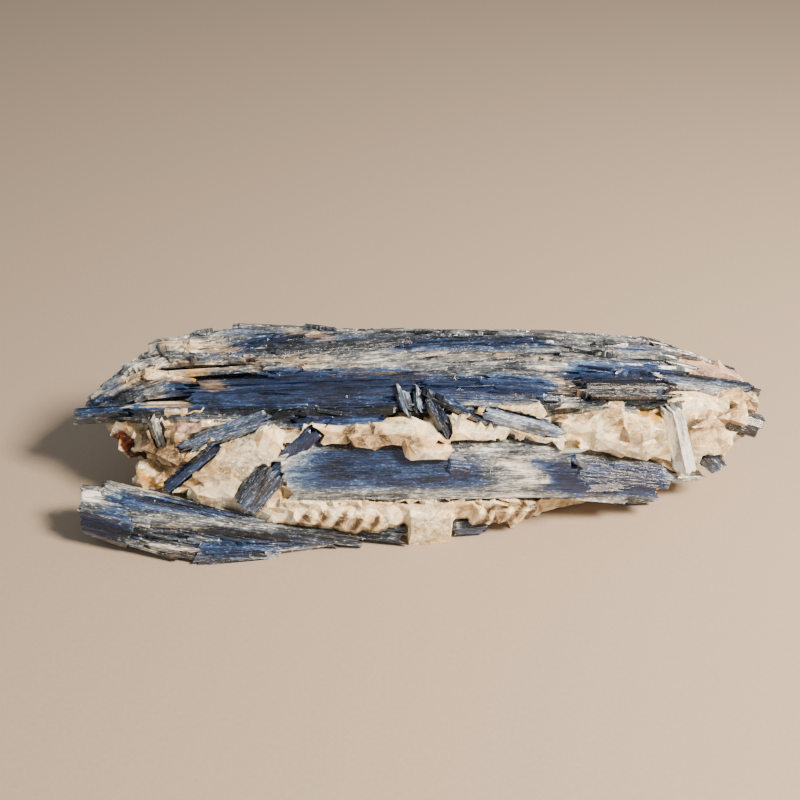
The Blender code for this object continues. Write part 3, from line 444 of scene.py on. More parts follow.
CAMERA_ELEVATION = math.radians(37)
CAMERA_ANGLE = math.radians(40)
CAMERA_DISTANCE = 320.0  # in mm
CAMERA_TARGET = Vector((-4.7, 5.0, 27.6))
SENSOR = 36.0  # the width of the camera's sensor, in mm
# In metres
FLOOR_REACH = 4.0
KEY_SIZE = 0.15  # of the key light
KEY_PLACE = Vector((0.37, -0.20, 0.46))
KEY_TARGET = Vector((0, 0, 0.02))

# ---------------------------------------------------------------- colours, as sRGB hex values

HEX = {
    "quartz_pink": "#bb9d8c",
    "quartz_slate": "#33363c",
    "ochre": "#cf9a3c",
    "rust": "#5a2912",
    "floor": "#a09384",
    "key": "#ffe9d0",
    "sky": "#f4f3f1",
}
# From the darkest places to the lightest
STOPS = (0.0, 0.25, 0.5, 0.68, 0.84, 1.0)
GREY_STOPS = tuple(zip(STOPS, ("#090c12", "#252d39", "#58616a", "#8d908d", "#bcbdb7", "#f1f3f3")))
BLUE_STOPS = tuple(zip((0.0, 0.2, 0.38, 0.56, 0.74, 1.0),
                       ("#070910", "#101a34", "#1f345c", "#3a5884", "#778ca3", "#e0e6eb")))
CREAM_STOPS = tuple(zip(STOPS, ("#2e2820", "#6d604e", "#a39178", "#c2b196", "#dacbb2", "#f1e8d8")))
QUARTZ_STOPS = tuple(zip(STOPS, ("#463929", "#90795c", "#c8ab83", "#e3c799", "#f2ddb2", "#fbf0d6")))


def linear(hex_code):
    """An sRGB hex colour as the linear values that a shader takes."""
    values = [int(hex_code[i:i + 2], 16) / 255 for i in (1, 3, 5)]
    return (*[v / 12.92 if v <= 0.04045 else ((v + 0.055) / 1.055) ** 2.4 for v in values], 1.0)


# ---------------------------------------------------------------- settings that a user would change

class KyaniteSettings(bpy.types.PropertyGroup):
    strand_width: FloatProperty(
        name="Strand width", description="Mean width of the strands that a blade splits into",
        default=1.0 * MM, unit="LENGTH")
    relief: FloatProperty(
        name="Relief", description="Mean height of the steps between a blade's strands",
        default=0.12 * MM, unit="LENGTH")
    upper_small: IntProperty(
        name="Upper small blades", description="How many small blades grow on the upper bundle",
        default=260, min=0)
    needles: IntProperty(
        name="Needles", description="How many thin splinters lie on the upper bundle",
        default=260, min=0)
    lower_small: IntProperty(
        name="Lower small blades", description="How many small blades grow on the lower bundle",
        default=70, min=0)
    line_pitch: FloatProperty(
        name="Line pitch", description="Distance between the fine lines along a blade",
        default=0.45 * MM, unit="LENGTH")


class QuartzSettings(bpy.types.PropertyGroup):
    grain: FloatProperty(
        name="Detail", description="Edge of the smallest face on the quartz",
        default=0.6 * MM, unit="LENGTH")
    chips: IntProperty(
        name="Chips", description="How many angular lumps break up the quartz faces", default=64, min=0)
    hollow: FloatProperty(
        name="Hollow", description="Mean width of a shell-like hollow where the quartz broke",
        default=7.0 * MM, unit="LENGTH")
    hollow_depth: FloatProperty(
        name="Hollow depth", description="Depth of such a hollow at half its width",
        default=0.25 * MM, unit="LENGTH")
    tilt: FloatProperty(
        name="Tilt", description="Typical slope of a hollow", default=0.07, min=0.0)
    facets: FloatProperty(
        name="Facets", description="Share of the surface's detail that is kept as flat facets",
        default=0.035, min=0.01, max=1.0)


class StageSettings(bpy.types.PropertyGroup):
    floor_colour: FloatVectorProperty(
        name="Floor", description="Colour of the floor", subtype="COLOR", size=4,
        default=linear(HEX["floor"]))
    key_power: FloatProperty(
        name="Key light", description="Power of the soft light at the front right", default=14.0,
        unit="POWER")
    fill_strength: FloatProperty(
        name="Fill", description="Strength of the light from all round", default=0.42)


# ---------------------------------------------------------------- shared geometry

FULL_ARCH = 30  # how wide a strip is before it arches fully, in mm


def on_rail(rail, x):
    """The point of a rail at x, as (y, z)."""
    if x <= rail[0][0]:
        return Vector(rail[0][1:])
    for start, end in zip(rail, rail[1:]):
        if x <= end[0]:
            share = (x - start[0]) / (end[0] - start[0])
            return Vector(start[1:]).lerp(Vector(end[1:]), share)
    return Vector(rail[-1][1:])


def skin_point(skin, x, across):
    """A point of a skin and its outward direction. across counts the rails: 0 is on the first."""
    strip = min(max(math.floor(across), 0), len(skin.rails) - 2)
    near, far = (on_rail(rail, x) for rail in skin.rails[strip:strip + 2])
    share = across - strip
    span = far - near
    out = Vector((-span.y, span.x)).normalized()
    point = near + span * share
    if strip == 0:
        arch = 4 * skin.rise * min(1.0, span.length / FULL_ARCH)
        point += out * (arch * share * (1 - share))
        bent = span + out * (arch * (1 - 2 * share))
        out = Vector((-bent.y, bent.x)).normalized()
    return Vector((x, *point)), Vector((0, *out))


def skin_blade(blade, skin):
    """The free blade that lies where a skin blade says."""
    tail, out0 = skin_point(skin, blade.x0, blade.a0)
    tip, out1 = skin_point(skin, blade.x1, blade.a1)
    out = (out0 + out1).normalized()
    axis = (tip - tail).normalized()
    turn = math.radians(blade.tilt)
    face = out * math.cos(turn) + axis.cross(out) * math.sin(turn)
    sink = blade.proud - blade.thick / 2
    return FreeBlade(tail + out0 * sink, tip + out1 * sink, face, blade.wide, blade.thick,
                     blade.taper0, blade.taper1, 0.25, -0.2)


def lone_blade(sunk, shape):
    """A lone blade, sunk if it is set in quartz."""
    blade = FreeBlade(*shape)
    if not sunk:
        return blade
    down = Vector(blade.face).normalized() * sunk
    return blade._replace(tail=tuple(Vector(blade.tail) - down), tip=tuple(Vector(blade.tip) - down))


def blade_frame(blade):
    """A blade's tail, its directions along, across and out of its face, and its length."""
    tail, tip = Vector(blade.tail), Vector(blade.tip)
    axis = (tip - tail).normalized()
    side = axis.cross(Vector(blade.face)).normalized()
    return tail, axis, side, side.cross(axis), (tip - tail).length


def streak_weights(points, streaks, kinds):
    """How strongly each kind of tone covers each point, a column for each kind."""
    weights = np.zeros((len(points), len(kinds)))
    for streak in streaks:
        if streak.kind not in kinds:
            continue
        start = np.array(streak.start, float)
        run = np.array(streak.end, float) - start
        length = float(np.linalg.norm(run))
        run /= max(length, 1e-6)
        arm = points - start
        along = arm @ run
        off = np.linalg.norm(arm - np.outer(along, run), axis=1)
        past = np.maximum(0, np.maximum(-along, along - length))
        reach = np.hypot(off / streak.radius, past / max(streak.radius, 0.2 * length))
        column = kinds.index(streak.kind)
        weight = np.clip(1.6 * (1.25 - reach), 0, 1) * streak.strength
        weights[:, column] = np.maximum(weights[:, column], weight)
    return weights


def put(name, data):
    """A new object in the scene."""
    thing = bpy.data.objects.new(name, data)
    bpy.context.scene.collection.objects.link(thing)
    return thing


def new_mesh(name, corners, faces):
    """A mesh from its corners and faces."""
    mesh = bpy.data.meshes.new(name)
    mesh.from_pydata(corners, [], faces)
    return mesh


def finish_piece(name, node, points, faces, grain, shade, streaks, kinds, material, base=None):
    """Turns points in bench millimetres into a piece that stands for a CAD node, with its grain and
    shade, and with the tones and stains that streaks and its base give it."""
    tone = streak_weights(points, streaks, kinds)
    for kind, strength in (base or {}).items():
        tone[:, kinds.index(kind)] = strength
    stain = streak_weights(points, streaks, (*STAINS, None, None))
    corners = (points + np.array(BENCH_TO_FRAME)) * MM
    corners[:, 2] = np.maximum(corners[:, 2], 0.0)
    mesh = new_mesh(name, corners.tolist(), faces)
    for label, kind, field, values in (("grain", "FLOAT_VECTOR", "vector", grain),
                                       ("shade", "FLOAT", "value", shade),
                                       ("tone", "FLOAT_COLOR", "color", tone),
                                       ("stain", "FLOAT_COLOR", "color", stain)):
        attribute = mesh.attributes.new(label, kind, "POINT" if len(values) == len(corners) else "FACE")
        attribute.data.foreach_set(field, np.ascontiguousarray(values, np.float32).ravel())
    mesh.materials.append(material)
    piece = put(name, mesh)
    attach(piece, "root")
    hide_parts(node)


# ---------------------------------------------------------------- strands of kyanite

class Pile:
    """Gathers the closed slivers of one piece: corners in bench millimetres and faces, and for each
    corner its place in its blade's grain (along, across, a number that is the blade's own) and how
    much lighter or darker its sliver is."""

    def __init__(self):
        settings = bpy.context.scene.kyanite_settings
        self.strand, self.relief = settings.strand_width / MM, settings.relief / MM
        self.corners, self.grain, self.shade, self.faces = [], [], [], []

    def sliver(self, rings, grains, shades):
        """A closed strip through rings of corners."""
        first, size = len(self.corners), len(rings[0])
        for ring, grain, shade in zip(rings, grains, shades):
            self.corners.extend(ring)
            self.grain.extend(grain)
            self.shade.extend([shade] * size)
        last = first + (len(rings) - 1) * size
        for near in range(first, last, size):
            for i in range(size):
                j = (i + 1) % size
                self.faces.append((near + i, near + j, near + size + j, near + size + i))
        self.faces.append(tuple(range(first + size - 1, first - 1, -1)))
        self.faces.append(tuple(range(last, last + size)))

    def finish(self, name, node, streaks, base=None):
        """The pile as a piece of kyanite."""
        points = np.array([tuple(corner) for corner in self.corners])
        finish_piece(name, node, points, self.faces, self.grain, self.shade, streaks, KYANITE_TONES,
                     surface("kyanite_cleaved", cleaved_kyanite), base)


# The heights of a blade's face and underside across it, as shares of its thickness and width
FACE_ACROSS = (-0.5, -0.38, 0.14, 0.5)
FACE_HEIGHT = (-0.05, 0.42, 0.5, 0.16)
UNDER_ACROSS = (-0.5, 0.05, 0.5)
UNDER_HEIGHT = (-0.2, -0.5, -0.05)
WAIST = (0.16, 0.8)  # where along it a blade reaches and leaves its full width

# Strands, in mm
LEAST_WIDTH = 0.3
LEAST_HEIGHT = 0.1
RING_STEP = 5.0  # from ring to ring
END_RING = 0.6  # from an end to the next ring, at least
LONG_ENOUGH = 9  # to be broken across
END_BREAK = 2  # from an end to a break across, at least
HALF_BREAK = 0.1  # from the middle of a break to where its slope ends
SWAY = 0.03  # of the face, up and down
WORN_END, WORN_DROP = 0.5, 0.7  # how far an end is worn, along and down, at most
MOST_SLANT = 2.2  # of a snapped end

# Strands, as shares
WIDTH_SLANT, LENGTH_SLANT = 1.6, 0.12  # of width and length, the most that a snapped end slants
MOST_UNEVEN, MOST_LOST = 0.3, 0.4  # of the blade's length, the most that is missing at an end
STRAND_SPREAD = 0.55  # how much they differ in width
HELD_LEVEL = 0.55  # how much of its neighbour's level one keeps
LOST_SLIVER, LOST_DEPTH = 0.1, (1.5, 3.5)  # how often a sliver has come away, how many steps deep
STRAND_LEAN, BREAK_STEP = 0.35, 1.3  # how much one leans, and drops at a break, in steps
BLADE_SHADE, STRAND_SHADE, BREAK_SHADE = 0.07, 0.05, 0.07  # how much these differ in lightness
OVERLAP = 1.01  # between neighbouring strands, so that no gap shows
CORE_SHADE = -0.12  # of the mass between the blades

SNAPPED, PLAIN, STEPPED = -1, 0, 1  # a ring at a strand's end, along it, and past a break across it


def strand_ends(chance, blade, reach, length, fray, ragged):
    """Where a strand starts and ends along its blade: short at the sides of a blade that tapers,
    and ragged, because kyanite breaks into splinters."""
    ends = []
    for narrowing, run in ((blade.taper0, WAIST[0]), (blade.taper1, 1 - WAIST[1])):
        inset = 0.0
        if reach > narrowing:
            inset = run * length * (reach - narrowing) / max(1 - narrowing, 0.05)
        uneven = abs(chance.gauss(0, 0.5)) + max(0.0, chance.gauss(-0.7, 1.3))
        uneven += fray * reach * chance.random()
        ends.append(min(inset + min(uneven * ragged, MOST_UNEVEN * length), MOST_LOST * length))
    return ends[0], length - ends[1]


def strand_edges(chance, wide, strand):
    """Where a blade is split across, in mm from its middle."""
    widths = []
    while sum(widths) < wide:
        width = chance.lognormvariate(math.log(strand), STRAND_SPREAD)
        widths.append(min(max(width, LEAST_WIDTH), 0.5 * wide))
    scale = wide / sum(widths)
    edges = [-wide / 2]
    for width in widths:
        edges.append(edges[-1] + width * scale)
    return edges


def strand_rings(chance, start, end):
    """Where a strand has rings, and what each is."""
    span = end - start
    breaks = sorted(chance.uniform(start + END_BREAK, end - END_BREAK)
                    for _ in range(chance.choice((0, 0, 1, 1, 2))) if span > LONG_ENOUGH)
    worn = min(WORN_END, 0.1 * span)
    rings = [(start, SNAPPED), (start + worn, PLAIN), (end - worn, PLAIN), (end, SNAPPED)]
    for place in breaks:
        rings.extend([(place - HALF_BREAK, PLAIN), (place + HALF_BREAK, STEPPED)])
    for _ in range(int(span / RING_STEP)):
        rings.append((start + END_RING + (span - 2 * END_RING) * chance.random(), PLAIN))
    return sorted(rings)


def lay_blade(pile, blade, strand, relief, fray=0.0, ragged=1.0):
    """Lays one blade into a pile, as the flat strands that its cleavage splits it into. Strands are
    snapped off square or slantwise, and step down where a sliver has come away. Where its tail is
    gives each blade its own chances."""
    tail, axis, side, out, length = blade_frame(blade)
    chance = random.Random(round(blade.tail[0] * 97 + blade.tail[2] * 31, 3))
    edges = strand_edges(chance, blade.wide, strand)
    own = chance.uniform(0, 900)
    blade_shade = chance.gauss(0, BLADE_SHADE)
    level = 0.0
    for left, right in zip(edges, edges[1:]):
        middle = (left + right) / 2
        start, end = strand_ends(chance, blade, abs(2 * middle / blade.wide), length, fray, ragged)
        level = HELD_LEVEL * level - abs(chance.gauss(0, relief))
        if chance.random() < LOST_SLIVER:
            level -= chance.uniform(*LOST_DEPTH) * relief
        shade = blade_shade + chance.gauss(0, STRAND_SHADE)
        lean = chance.gauss(0, STRAND_LEAN) * relief
        slant = min(WIDTH_SLANT * (right - left), MOST_SLANT, LENGTH_SLANT * (end - start))
        skew = chance.gauss(0, ragged) * slant
        shares = [left / blade.wide, right / blade.wide]
        tops = np.interp(shares, FACE_ACROSS, FACE_HEIGHT) * blade.thick
        lows = np.interp(shares, UNDER_ACROSS, UNDER_HEIGHT) * blade.thick
        step = 0.0
        rings, grains, shades = [], [], []
        for place, mark in strand_rings(chance, start, end):
            snapped = mark == SNAPPED
            if mark == STEPPED:
                step = -abs(chance.gauss(0, relief * BREAK_STEP))
            sway = chance.gauss(0, SWAY)
            drop = min(0.25 * blade.thick, WORN_DROP) * chance.random() if snapped else 0.0
            share = place / length
            slide = (blade.cut0 if share < 0.5 else blade.cut1) * middle * abs(1 - 2 * share)
            centre = tail + axis * (place + slide)
            pull = skew if snapped else 0.0
            rise = level + step + sway - drop
            highs = np.maximum((tops[0] + rise - lean, tops[1] + rise + lean), lows + LEAST_HEIGHT)
            rings.append([centre + axis * back + side * (across * OVERLAP) + out * up
                          for across, up, back in ((left, lows[0], pull), (left, highs[0], pull),
                                                   (right, highs[1], -pull), (right, lows[1], -pull))])
            grains.append([(place + own, across + own, own) for across in (left, left, right, right)])
            shades.append(shade + (BREAK_SHADE + BREAK_SHADE * math.sin(5 * place + own) if mark else 0.0))
        pile.sliver(rings, grains, shades)


def lay_core(pile, rails, stations, inset):
    """The inner mass that a bundle's blades grow from."""
    rings, grains = [], []
    for x in stations:
        section = [on_rail(rail, x) for rail in rails]
        middle = sum(section, Vector((0, 0))) / len(section)
        ring = []
        for corner in section:
            arm = corner - middle
            arm.length = max(0.25 * arm.length, arm.length - inset)
            ring.append(Vector((x, *(middle + arm))))
        rings.append(ring)
        grains.append([(corner.x, corner.y * 2 + corner.z, 5.0) for corner in ring])
    pile.sliver(rings, grains, [CORE_SHADE] * len(rings))


def grow_small(pile, chance, count, growth, skin, strand):
    """Grows small blades all over a skin."""
    for _ in range(count):
        length = chance.uniform(*growth.length)
        x = chance.uniform(growth.along[0], growth.along[1] - length)
        across = chance.uniform(*growth.across)
        small = SkinBlade(x, x + length, across, across + chance.gauss(0, growth.turn),
                          chance.uniform(*growth.wide), growth.thick, chance.gauss(0, growth.lean),
                          chance.uniform(*growth.proud), *growth.tapers)
        lay_blade(pile, skin_blade(small, skin), strand, pile.relief)


# ---------------------------------------------------------------- materials

NAP_PER_METRE = 900


def feed(node, inputs):
    """Sets a node's inputs, by name or number, or links them from a socket or from a node's first
    output in use."""
    for key, value in inputs.items():
        if isinstance(value, bpy.types.Node):
            value = next(output for output in value.outputs if output.enabled)
        if isinstance(value, bpy.types.NodeSocket):
            node.id_data.links.new(value, node.inputs[key])
        else:
            node.inputs[key].default_value = value


def add(tree, kind, inputs=None, stops=(), **settings):
    """Adds a node with its settings, its inputs and its colour stops."""
    node = tree.nodes.new("ShaderNode" + kind)
    for key, value in settings.items():
        setattr(node, key, value)
    feed(node, inputs or {})
    for i, (place, hex_code) in enumerate(stops):
        elements = node.color_ramp.elements
        stop = elements[i] if i < len(elements) else elements.new(place)
        stop.position = place
        stop.color = linear(hex_code)
    return node


def surface(name, lay):
    """The material of a name, which lay(tree, shader) makes when it is first asked for."""
    if name not in bpy.data.materials:
        material = bpy.data.materials.new(name)
        material.use_nodes = True
        lay(material.node_tree, material.node_tree.nodes["Principled BSDF"])
    return bpy.data.materials[name]


def read_piece(tree):
    """What a piece carries, as sockets: its grain, its shade, its four tones and its two stains."""
    grain, shade, tone, stain = (add(tree, "Attribute", attribute_name=label)
                                 for label in ("grain", "shade", "tone", "stain"))
    tones, stains = (add(tree, "SeparateColor", {"Color": spot.outputs["Color"]}).outputs
                     for spot in (tone, stain))
    return grain.outputs["Vector"], shade.outputs["Fac"], (*tones, tone.outputs["Alpha"]), stains[:2]


def weighted_sum(tree, terms, offset=0.0):
    """The sum of sockets times weights, plus an offset."""
    total = offset
    for socket, weight in terms:
        total = add(tree, "Math", {0: socket, 1: weight, 2: total}, operation="MULTIPLY_ADD")
    return total


def lay_colours(tree, colour, layers):
    """Lays colours over another, each where its amount and a pattern together are high. Where the
    amount is nothing, no pattern brings it up."""
    for layer, amount, pattern, swing, low, high in layers:
        level = weighted_sum(tree, ((pattern, swing), (amount, 1.0)), -0.5 * swing)
        gate = add(tree, "Math", {0: amount, 1: 4.0}, operation="MULTIPLY", use_clamp=True)
        share = add(tree, "MapRange", {"Value": level, "From Min": low, "From Max": high},
                    interpolation_type="SMOOTHSTEP")
        gated = add(tree, "Math", {0: share, 1: gate}, operation="MULTIPLY")
        colour = add(tree, "Mix", {0: gated, 6: colour, 7: layer}, data_type="RGBA")
    return colour


def cleaved_kyanite(tree, shader):
    """Kyanite split along its cleavage: glassy to pearly faces with fine lengthwise lines, deep blue
    at the heart of a blade and grey to white at its edges."""
    pitch = 1 / (bpy.context.scene.kyanite_settings.line_pitch / MM)
    grain, shade, (blue, dark, pale, cream), stains = read_piece(tree)

    # lines along the blade, scaled per mm along and across: hairlines, streaks 1.2 mm wide, zones
    # 4.5 mm wide, specks of 0.6 mm and splinters of 0.2 mm
    patterns = []
    for stretch, detail, roughness, bend in (((0.16, pitch, 1.0), 3.0, 0.6, 0.9),
                                             ((0.12, 0.8, 1.0), 4.0, 0.62, 1.0),
                                             ((0.07, 0.22, 1.0), 3.0, 0.55, 0.7),
                                             ((0.5, 1.8, 1.0), 4.0, 0.7, 0.5),
                                             ((0.9, 4.5, 1.0), 2.0, 0.5, 0.0)):
        place = add(tree, "VectorMath", {0: grain, 1: stretch}, operation="MULTIPLY")
        patterns.append(add(tree, "TexNoise", {"Vector": place, "Scale": 1.0, "Detail": detail,
                                               "Roughness": roughness, "Distortion": bend}))
    fine, streaks, broad, speck, splinter = patterns
    # white flecks: partly pale splinters, partly painted glints where cleavage faces would catch the light
    white_splinters_and_glints = add(tree, "MapRange", {"Value": splinter, "From Min": 0.6, "From Max": 0.68,
                                        "To Max": 0.5})

    # how light a place is, and how blue. The blue hearts of blades are calmer and deeper
    lightness = weighted_sum(tree, ((fine, 0.8), (streaks, 1.15), (broad, 1.0), (speck, 1.0), (shade, 1.0),
                                    (pale, 0.4), (dark, -0.42), (blue, -0.1), (white_splinters_and_glints, 1.0)), -1.5)
    calm = add(tree, "Math", {0: blue, 1: 0.42}, operation="MULTIPLY", use_clamp=True)
    lightness = add(tree, "Mix", {0: calm, 2: lightness, 3: 0.24})
    greys, blues, creams = (add(tree, "ValToRGB", {"Fac": lightness}, stops)
                            for stops in (GREY_STOPS, BLUE_STOPS, CREAM_STOPS))
    blueness = weighted_sum(tree, ((broad, 1.6), (streaks, 1.2), (blue, 1.0)), -1.42)
    blue_share = add(tree, "MapRange", {"Value": blueness, "From Min": 0.0, "From Max": 0.75},
                     interpolation_type="SMOOTHSTEP")
    colour = add(tree, "Mix", {0: blue_share, 6: greys, 7: blues}, data_type="RGBA")
    colour = lay_colours(tree, colour, [(creams, cream, streaks, 2.4, 0.3, 1.0)] + [
        (linear(HEX[stain]), amount, speck, 1.6, 0.35, 0.9) for stain, amount in zip(STAINS, stains)])

    roughness = add(tree, "MapRange", {"Value": fine, "From Min": 0.3, "From Max": 0.7, "To Min": 0.15,
                                       "To Max": 0.36})
    height = weighted_sum(tree, ((fine, 1.0), (streaks, 1.0), (speck, 0.5)))
    bump = add(tree, "Bump", {"Strength": 0.55, "Distance": 0.25 * MM, "Height": height})
    feed(shader, {"Base Color": colour, "Roughness": roughness, "Normal": bump, "IOR": 1.72})


def broken_quartz(tree, shader):
    """Milky to smoky quartz, broken: glassy facets over a depth that scatters light, some clear and
    brownish, some whitened by cracks, with iron stains."""
    grain, shade, (smoke, white, pink, slate), stains = read_piece(tree)
    # clouds 10 mm wide, patches of 2.5 mm and crumbs of 0.6 mm
    cloud, patch, crumb = (
        add(tree, "TexNoise", {"Vector": grain, "Scale": scale, "Detail": 5.0, "Roughness": roughness,
                               "Distortion": bend})
        for scale, roughness, bend in ((0.1, 0.6, 0.8), (0.4, 0.62, 0.5), (1.8, 0.7, 0.0)))
    # sugary grains of 2 mm, and thin whitish veils 3.6 mm apart where it is cracked inside
    warp, warp_a = (add(tree, "VectorMath", {0: pattern, 1: (far,) * 3, 2: grain}, operation="MULTIPLY_ADD")
                    for pattern, far in ((patch, 6), (crumb, 0.8)))
    sugar = add(tree, "TexVoronoi", {"Vector": warp_a, "Scale": 0.5})
    sugar_tint = add(tree, "SeparateColor", {"Color": sugar.outputs["Color"]})
    veil = add(tree, "TexVoronoi", {"Vector": warp, "Scale": 0.28}, feature="DISTANCE_TO_EDGE")
    veil_share = add(tree, "MapRange", {"Value": veil, "From Min": 0.0, "From Max": 0.07, "To Min": 0.22,
                                        "To Max": 0.0}, interpolation_type="SMOOTHSTEP")
    # on quartz, the shade that a piece carries is the painted light and shade of its facets
    lightness = weighted_sum(tree, ((cloud, 1.5), (patch, 0.35), (crumb, 0.16), (shade, 1.2), (white, 0.3),
                                    (smoke, -0.62), (veil_share, 1.0), (sugar_tint, 0.18)), -0.26)
    colour = add(tree, "ValToRGB", {"Fac": lightness}, QUARTZ_STOPS)
    colour = lay_colours(tree, colour, [
        (linear(HEX["quartz_pink"]), pink, cloud, 0.8, 0.3, 0.9),
        (linear(HEX["quartz_slate"]), slate, patch, 1.6, 0.35, 0.9),
        *[(linear(HEX[stain]), amount, patch, 1.8, 0.35, 0.95) for stain, amount in zip(STAINS, stains)]])

    roughness = add(tree, "MapRange", {"Value": patch, "From Min": 0.35, "From Max": 0.65, "To Min": 0.06,
                                       "To Max": 0.3})
    # flat broken facets, each tilted its own way, at two sizes in mm
    height = weighted_sum(tree, ((patch, 0.3), (crumb, 0.08)))
    for width, steep in ((2.6, 0.9), (0.9, 1.1)):
        cell = add(tree, "TexVoronoi", {"Vector": warp_a, "Scale": 1 / width})
        middle, own = cell.outputs["Position"], cell.outputs["Color"]
        arm, tilt = (add(tree, "VectorMath", {0: near, 1: far}, operation="SUBTRACT")
                     for near, far in ((warp_a, middle), (own, (0.5, 0.5, 0.5))))
        rise = add(tree, "VectorMath", {0: arm, 1: tilt}, operation="DOT_PRODUCT")
        height = weighted_sum(tree, ((rise, steep),), height)
    # smooth where it is whole, sugary where it is crushed
    crushed = add(tree, "MapRange", {"Value": cloud, "From Min": 0.4, "From Max": 0.6, "To Min": 0.25,
                                     "To Max": 0.95})
    bump = add(tree, "Bump", {"Strength": crushed, "Distance": 1.0 * MM, "Height": height})
    feed(shader, {"Base Color": colour, "Roughness": roughness, "Normal": bump, "IOR": 1.544,
                  "Subsurface Weight": 0.2, "Subsurface Radius": (1.0, 0.7, 0.45),
                  "Subsurface Scale": 1.5 * MM})


def matt_cloth(tree, shader):
    """Plain matt cloth for the floor, with a nap of about 1.1 mm that is tone alone."""
    place = add(tree, "TexCoord").outputs["Object"]
    nap = add(tree, "TexNoise", {"Vector": place, "Scale": NAP_PER_METRE, "Detail": 4.0})
    tint = add(tree, "MapRange", {"Value": nap, "To Min": 0.9, "To Max": 1.1})
    plain = bpy.context.scene.stage_settings.floor_colour
    colour = add(tree, "Mix", {0: 1.0, 6: plain, 7: tint}, data_type="RGBA", blend_type="MULTIPLY")
    feed(shader, {"Base Color": colour, "Roughness": 0.95})


# ---------------------------------------------------------------- quartz geometry

def lump_corners(lump):
    """Corners of a broken block, before its hull is taken: a box with its corners knocked in, and
    a few chips between."""
    chance = random.Random(lump.seed)
    shares = [Vector(signs) * chance.uniform(0.62, 0.82) for signs in product((-1, 1), repeat=3)]
    for _ in range(LUMP_CHIPS):
        way = Vector([chance.gauss(0, 1) for _ in range(3)]).normalized()
        shares.append(way * chance.uniform(0.95, 1.15))
    lean = Matrix.Rotation(math.radians(lump.lean), 3, "Y")
    return [Vector(lump.centre) + lean @ Vector([r * s for r, s in zip(lump.radii, share)])
            for share in shares]


def add_lump(work, lump):
    """Adds a broken block to a bmesh, as a closed shell of its own."""
    verts = [work.verts.new(corner) for corner in lump_corners(lump)]
    hull = bmesh.ops.convex_hull(work, input=verts)
    spare = {g for g in (*hull["geom_interior"], *hull["geom_unused"]) if isinstance(g, bmesh.types.BMVert)}
    bmesh.ops.delete(work, geom=list(spare), context="VERTS")


def add_shell(work):
    """Adds the main quartz body to a bmesh."""
    chance = random.Random("quartz_body")
    rings = []
    for x in QUARTZ_X:
        ring = []
        for rail in QUARTZ_RAILS:
            nudge = [chance.uniform(-QUARTZ_JITTER, QUARTZ_JITTER) for _ in range(3)]
            ring.append(work.verts.new([c + n for c, n in zip((x, *on_rail(rail, x)), nudge)]))
        rings.append(ring)
    for near, far in zip(rings, rings[1:]):
        for i in range(len(near)):
            j = (i + 1) % len(near)
            work.faces.new((near[i], near[j], far[j]))
            work.faces.new((near[i], far[j], far[i]))
    work.faces.new(rings[0][::-1])
    work.faces.new(rings[-1])


def scatter_lumps(scatter):
    """The small broken grains of a spot."""
    chance = random.Random(scatter.seed)
    for i in range(scatter.count):
        centre = [c + chance.uniform(-r, r) for c, r in zip(scatter.centre, scatter.radii)]
        radii = [scatter.size * chance.uniform(0.4, 1.3) for _ in range(3)]
        yield Lump(centre, radii, chance.uniform(-60, 60), scatter.seed * 100 + i)


def chip_lumps(count):
    """Angular lumps all over the quartz but its smooth front, sunk into it, no further back than
    CHIP_REACH."""
    chance = random.Random("chips")
    for i in range(count):
        x = chance.uniform(-84, 92)
        rails = chance.choice(list(zip(QUARTZ_RAILS, QUARTZ_RAILS[1:])))
        spot = on_rail(rails[0], x).lerp(on_rail(rails[1], x), chance.random())
        radii = [chance.uniform(3.0, 8.0) for _ in range(3)]
        lean = chance.uniform(-50, 50)
        if spot.x < SMOOTH_Y and spot.y < SMOOTH_Z or x < NOTCH_X:
            continue
        spot += (QUARTZ_HEART - spot).normalized() * min(radii) * CHIP_SUNK
        spot.x = min(spot.x, CHIP_REACH - radii[1])
        yield Lump((x, *spot), radii, lean, 1000 + i)


def plate_lumps(row):
    """The leaning plates of a row."""
    chance = random.Random(row.seed)
    for i in range(row.count):
        centre = Vector(row.start).lerp(Vector(row.end), (i + chance.uniform(0.2, 0.8)) / row.count)
        radii = (chance.uniform(1.0, 2.2), chance.uniform(2.0, 3.0), chance.uniform(3.6, 5.2))
        yield Lump(centre, radii, row.lean + chance.uniform(-8, 8), row.seed * 100 + i)


def plate_streaks():
    """Plates are by turns whitened and clear brown."""
    for row in PLATE_ROWS:
        for i, plate in enumerate(plate_lumps(row)):
            up = Matrix.Rotation(math.radians(plate.lean), 3, "Y") @ Vector((0, 0, 1.2 * plate.radii[2]))
            face = plate.centre - Vector((0, 0.75 * plate.radii[1], 0))
            yield Streak(face - up, face + up, 1.7, ("white", "smoke")[i % 2], 1.4)


def changed(mesh, *steps):
    """A mesh after modifiers, as corners, their normals, faces and the faces' normals."""
    block = put("work", mesh)
    for kind, settings in steps:
        step = block.modifiers.new(kind, kind)
        for key, value in settings.items():
            setattr(step, key, value)
    graph = bpy.context.evaluated_depsgraph_get()
    result = bpy.data.meshes.new_from_object(block.evaluated_get(graph))
    arrays = []
    for items, field in ((result.vertices, "co"), (result.vertices, "normal"), (result.polygons, "normal")):
        values = np.zeros(len(items) * 3)
        items.foreach_get(field, values)
        arrays.append(values.reshape(-1, 3))
    faces = [tuple(polygon.vertices) for polygon in result.polygons]
    bpy.data.objects.remove(block)
    bpy.data.meshes.remove(mesh)
    bpy.data.meshes.remove(result)
    return arrays[0], arrays[1], faces, arrays[2]


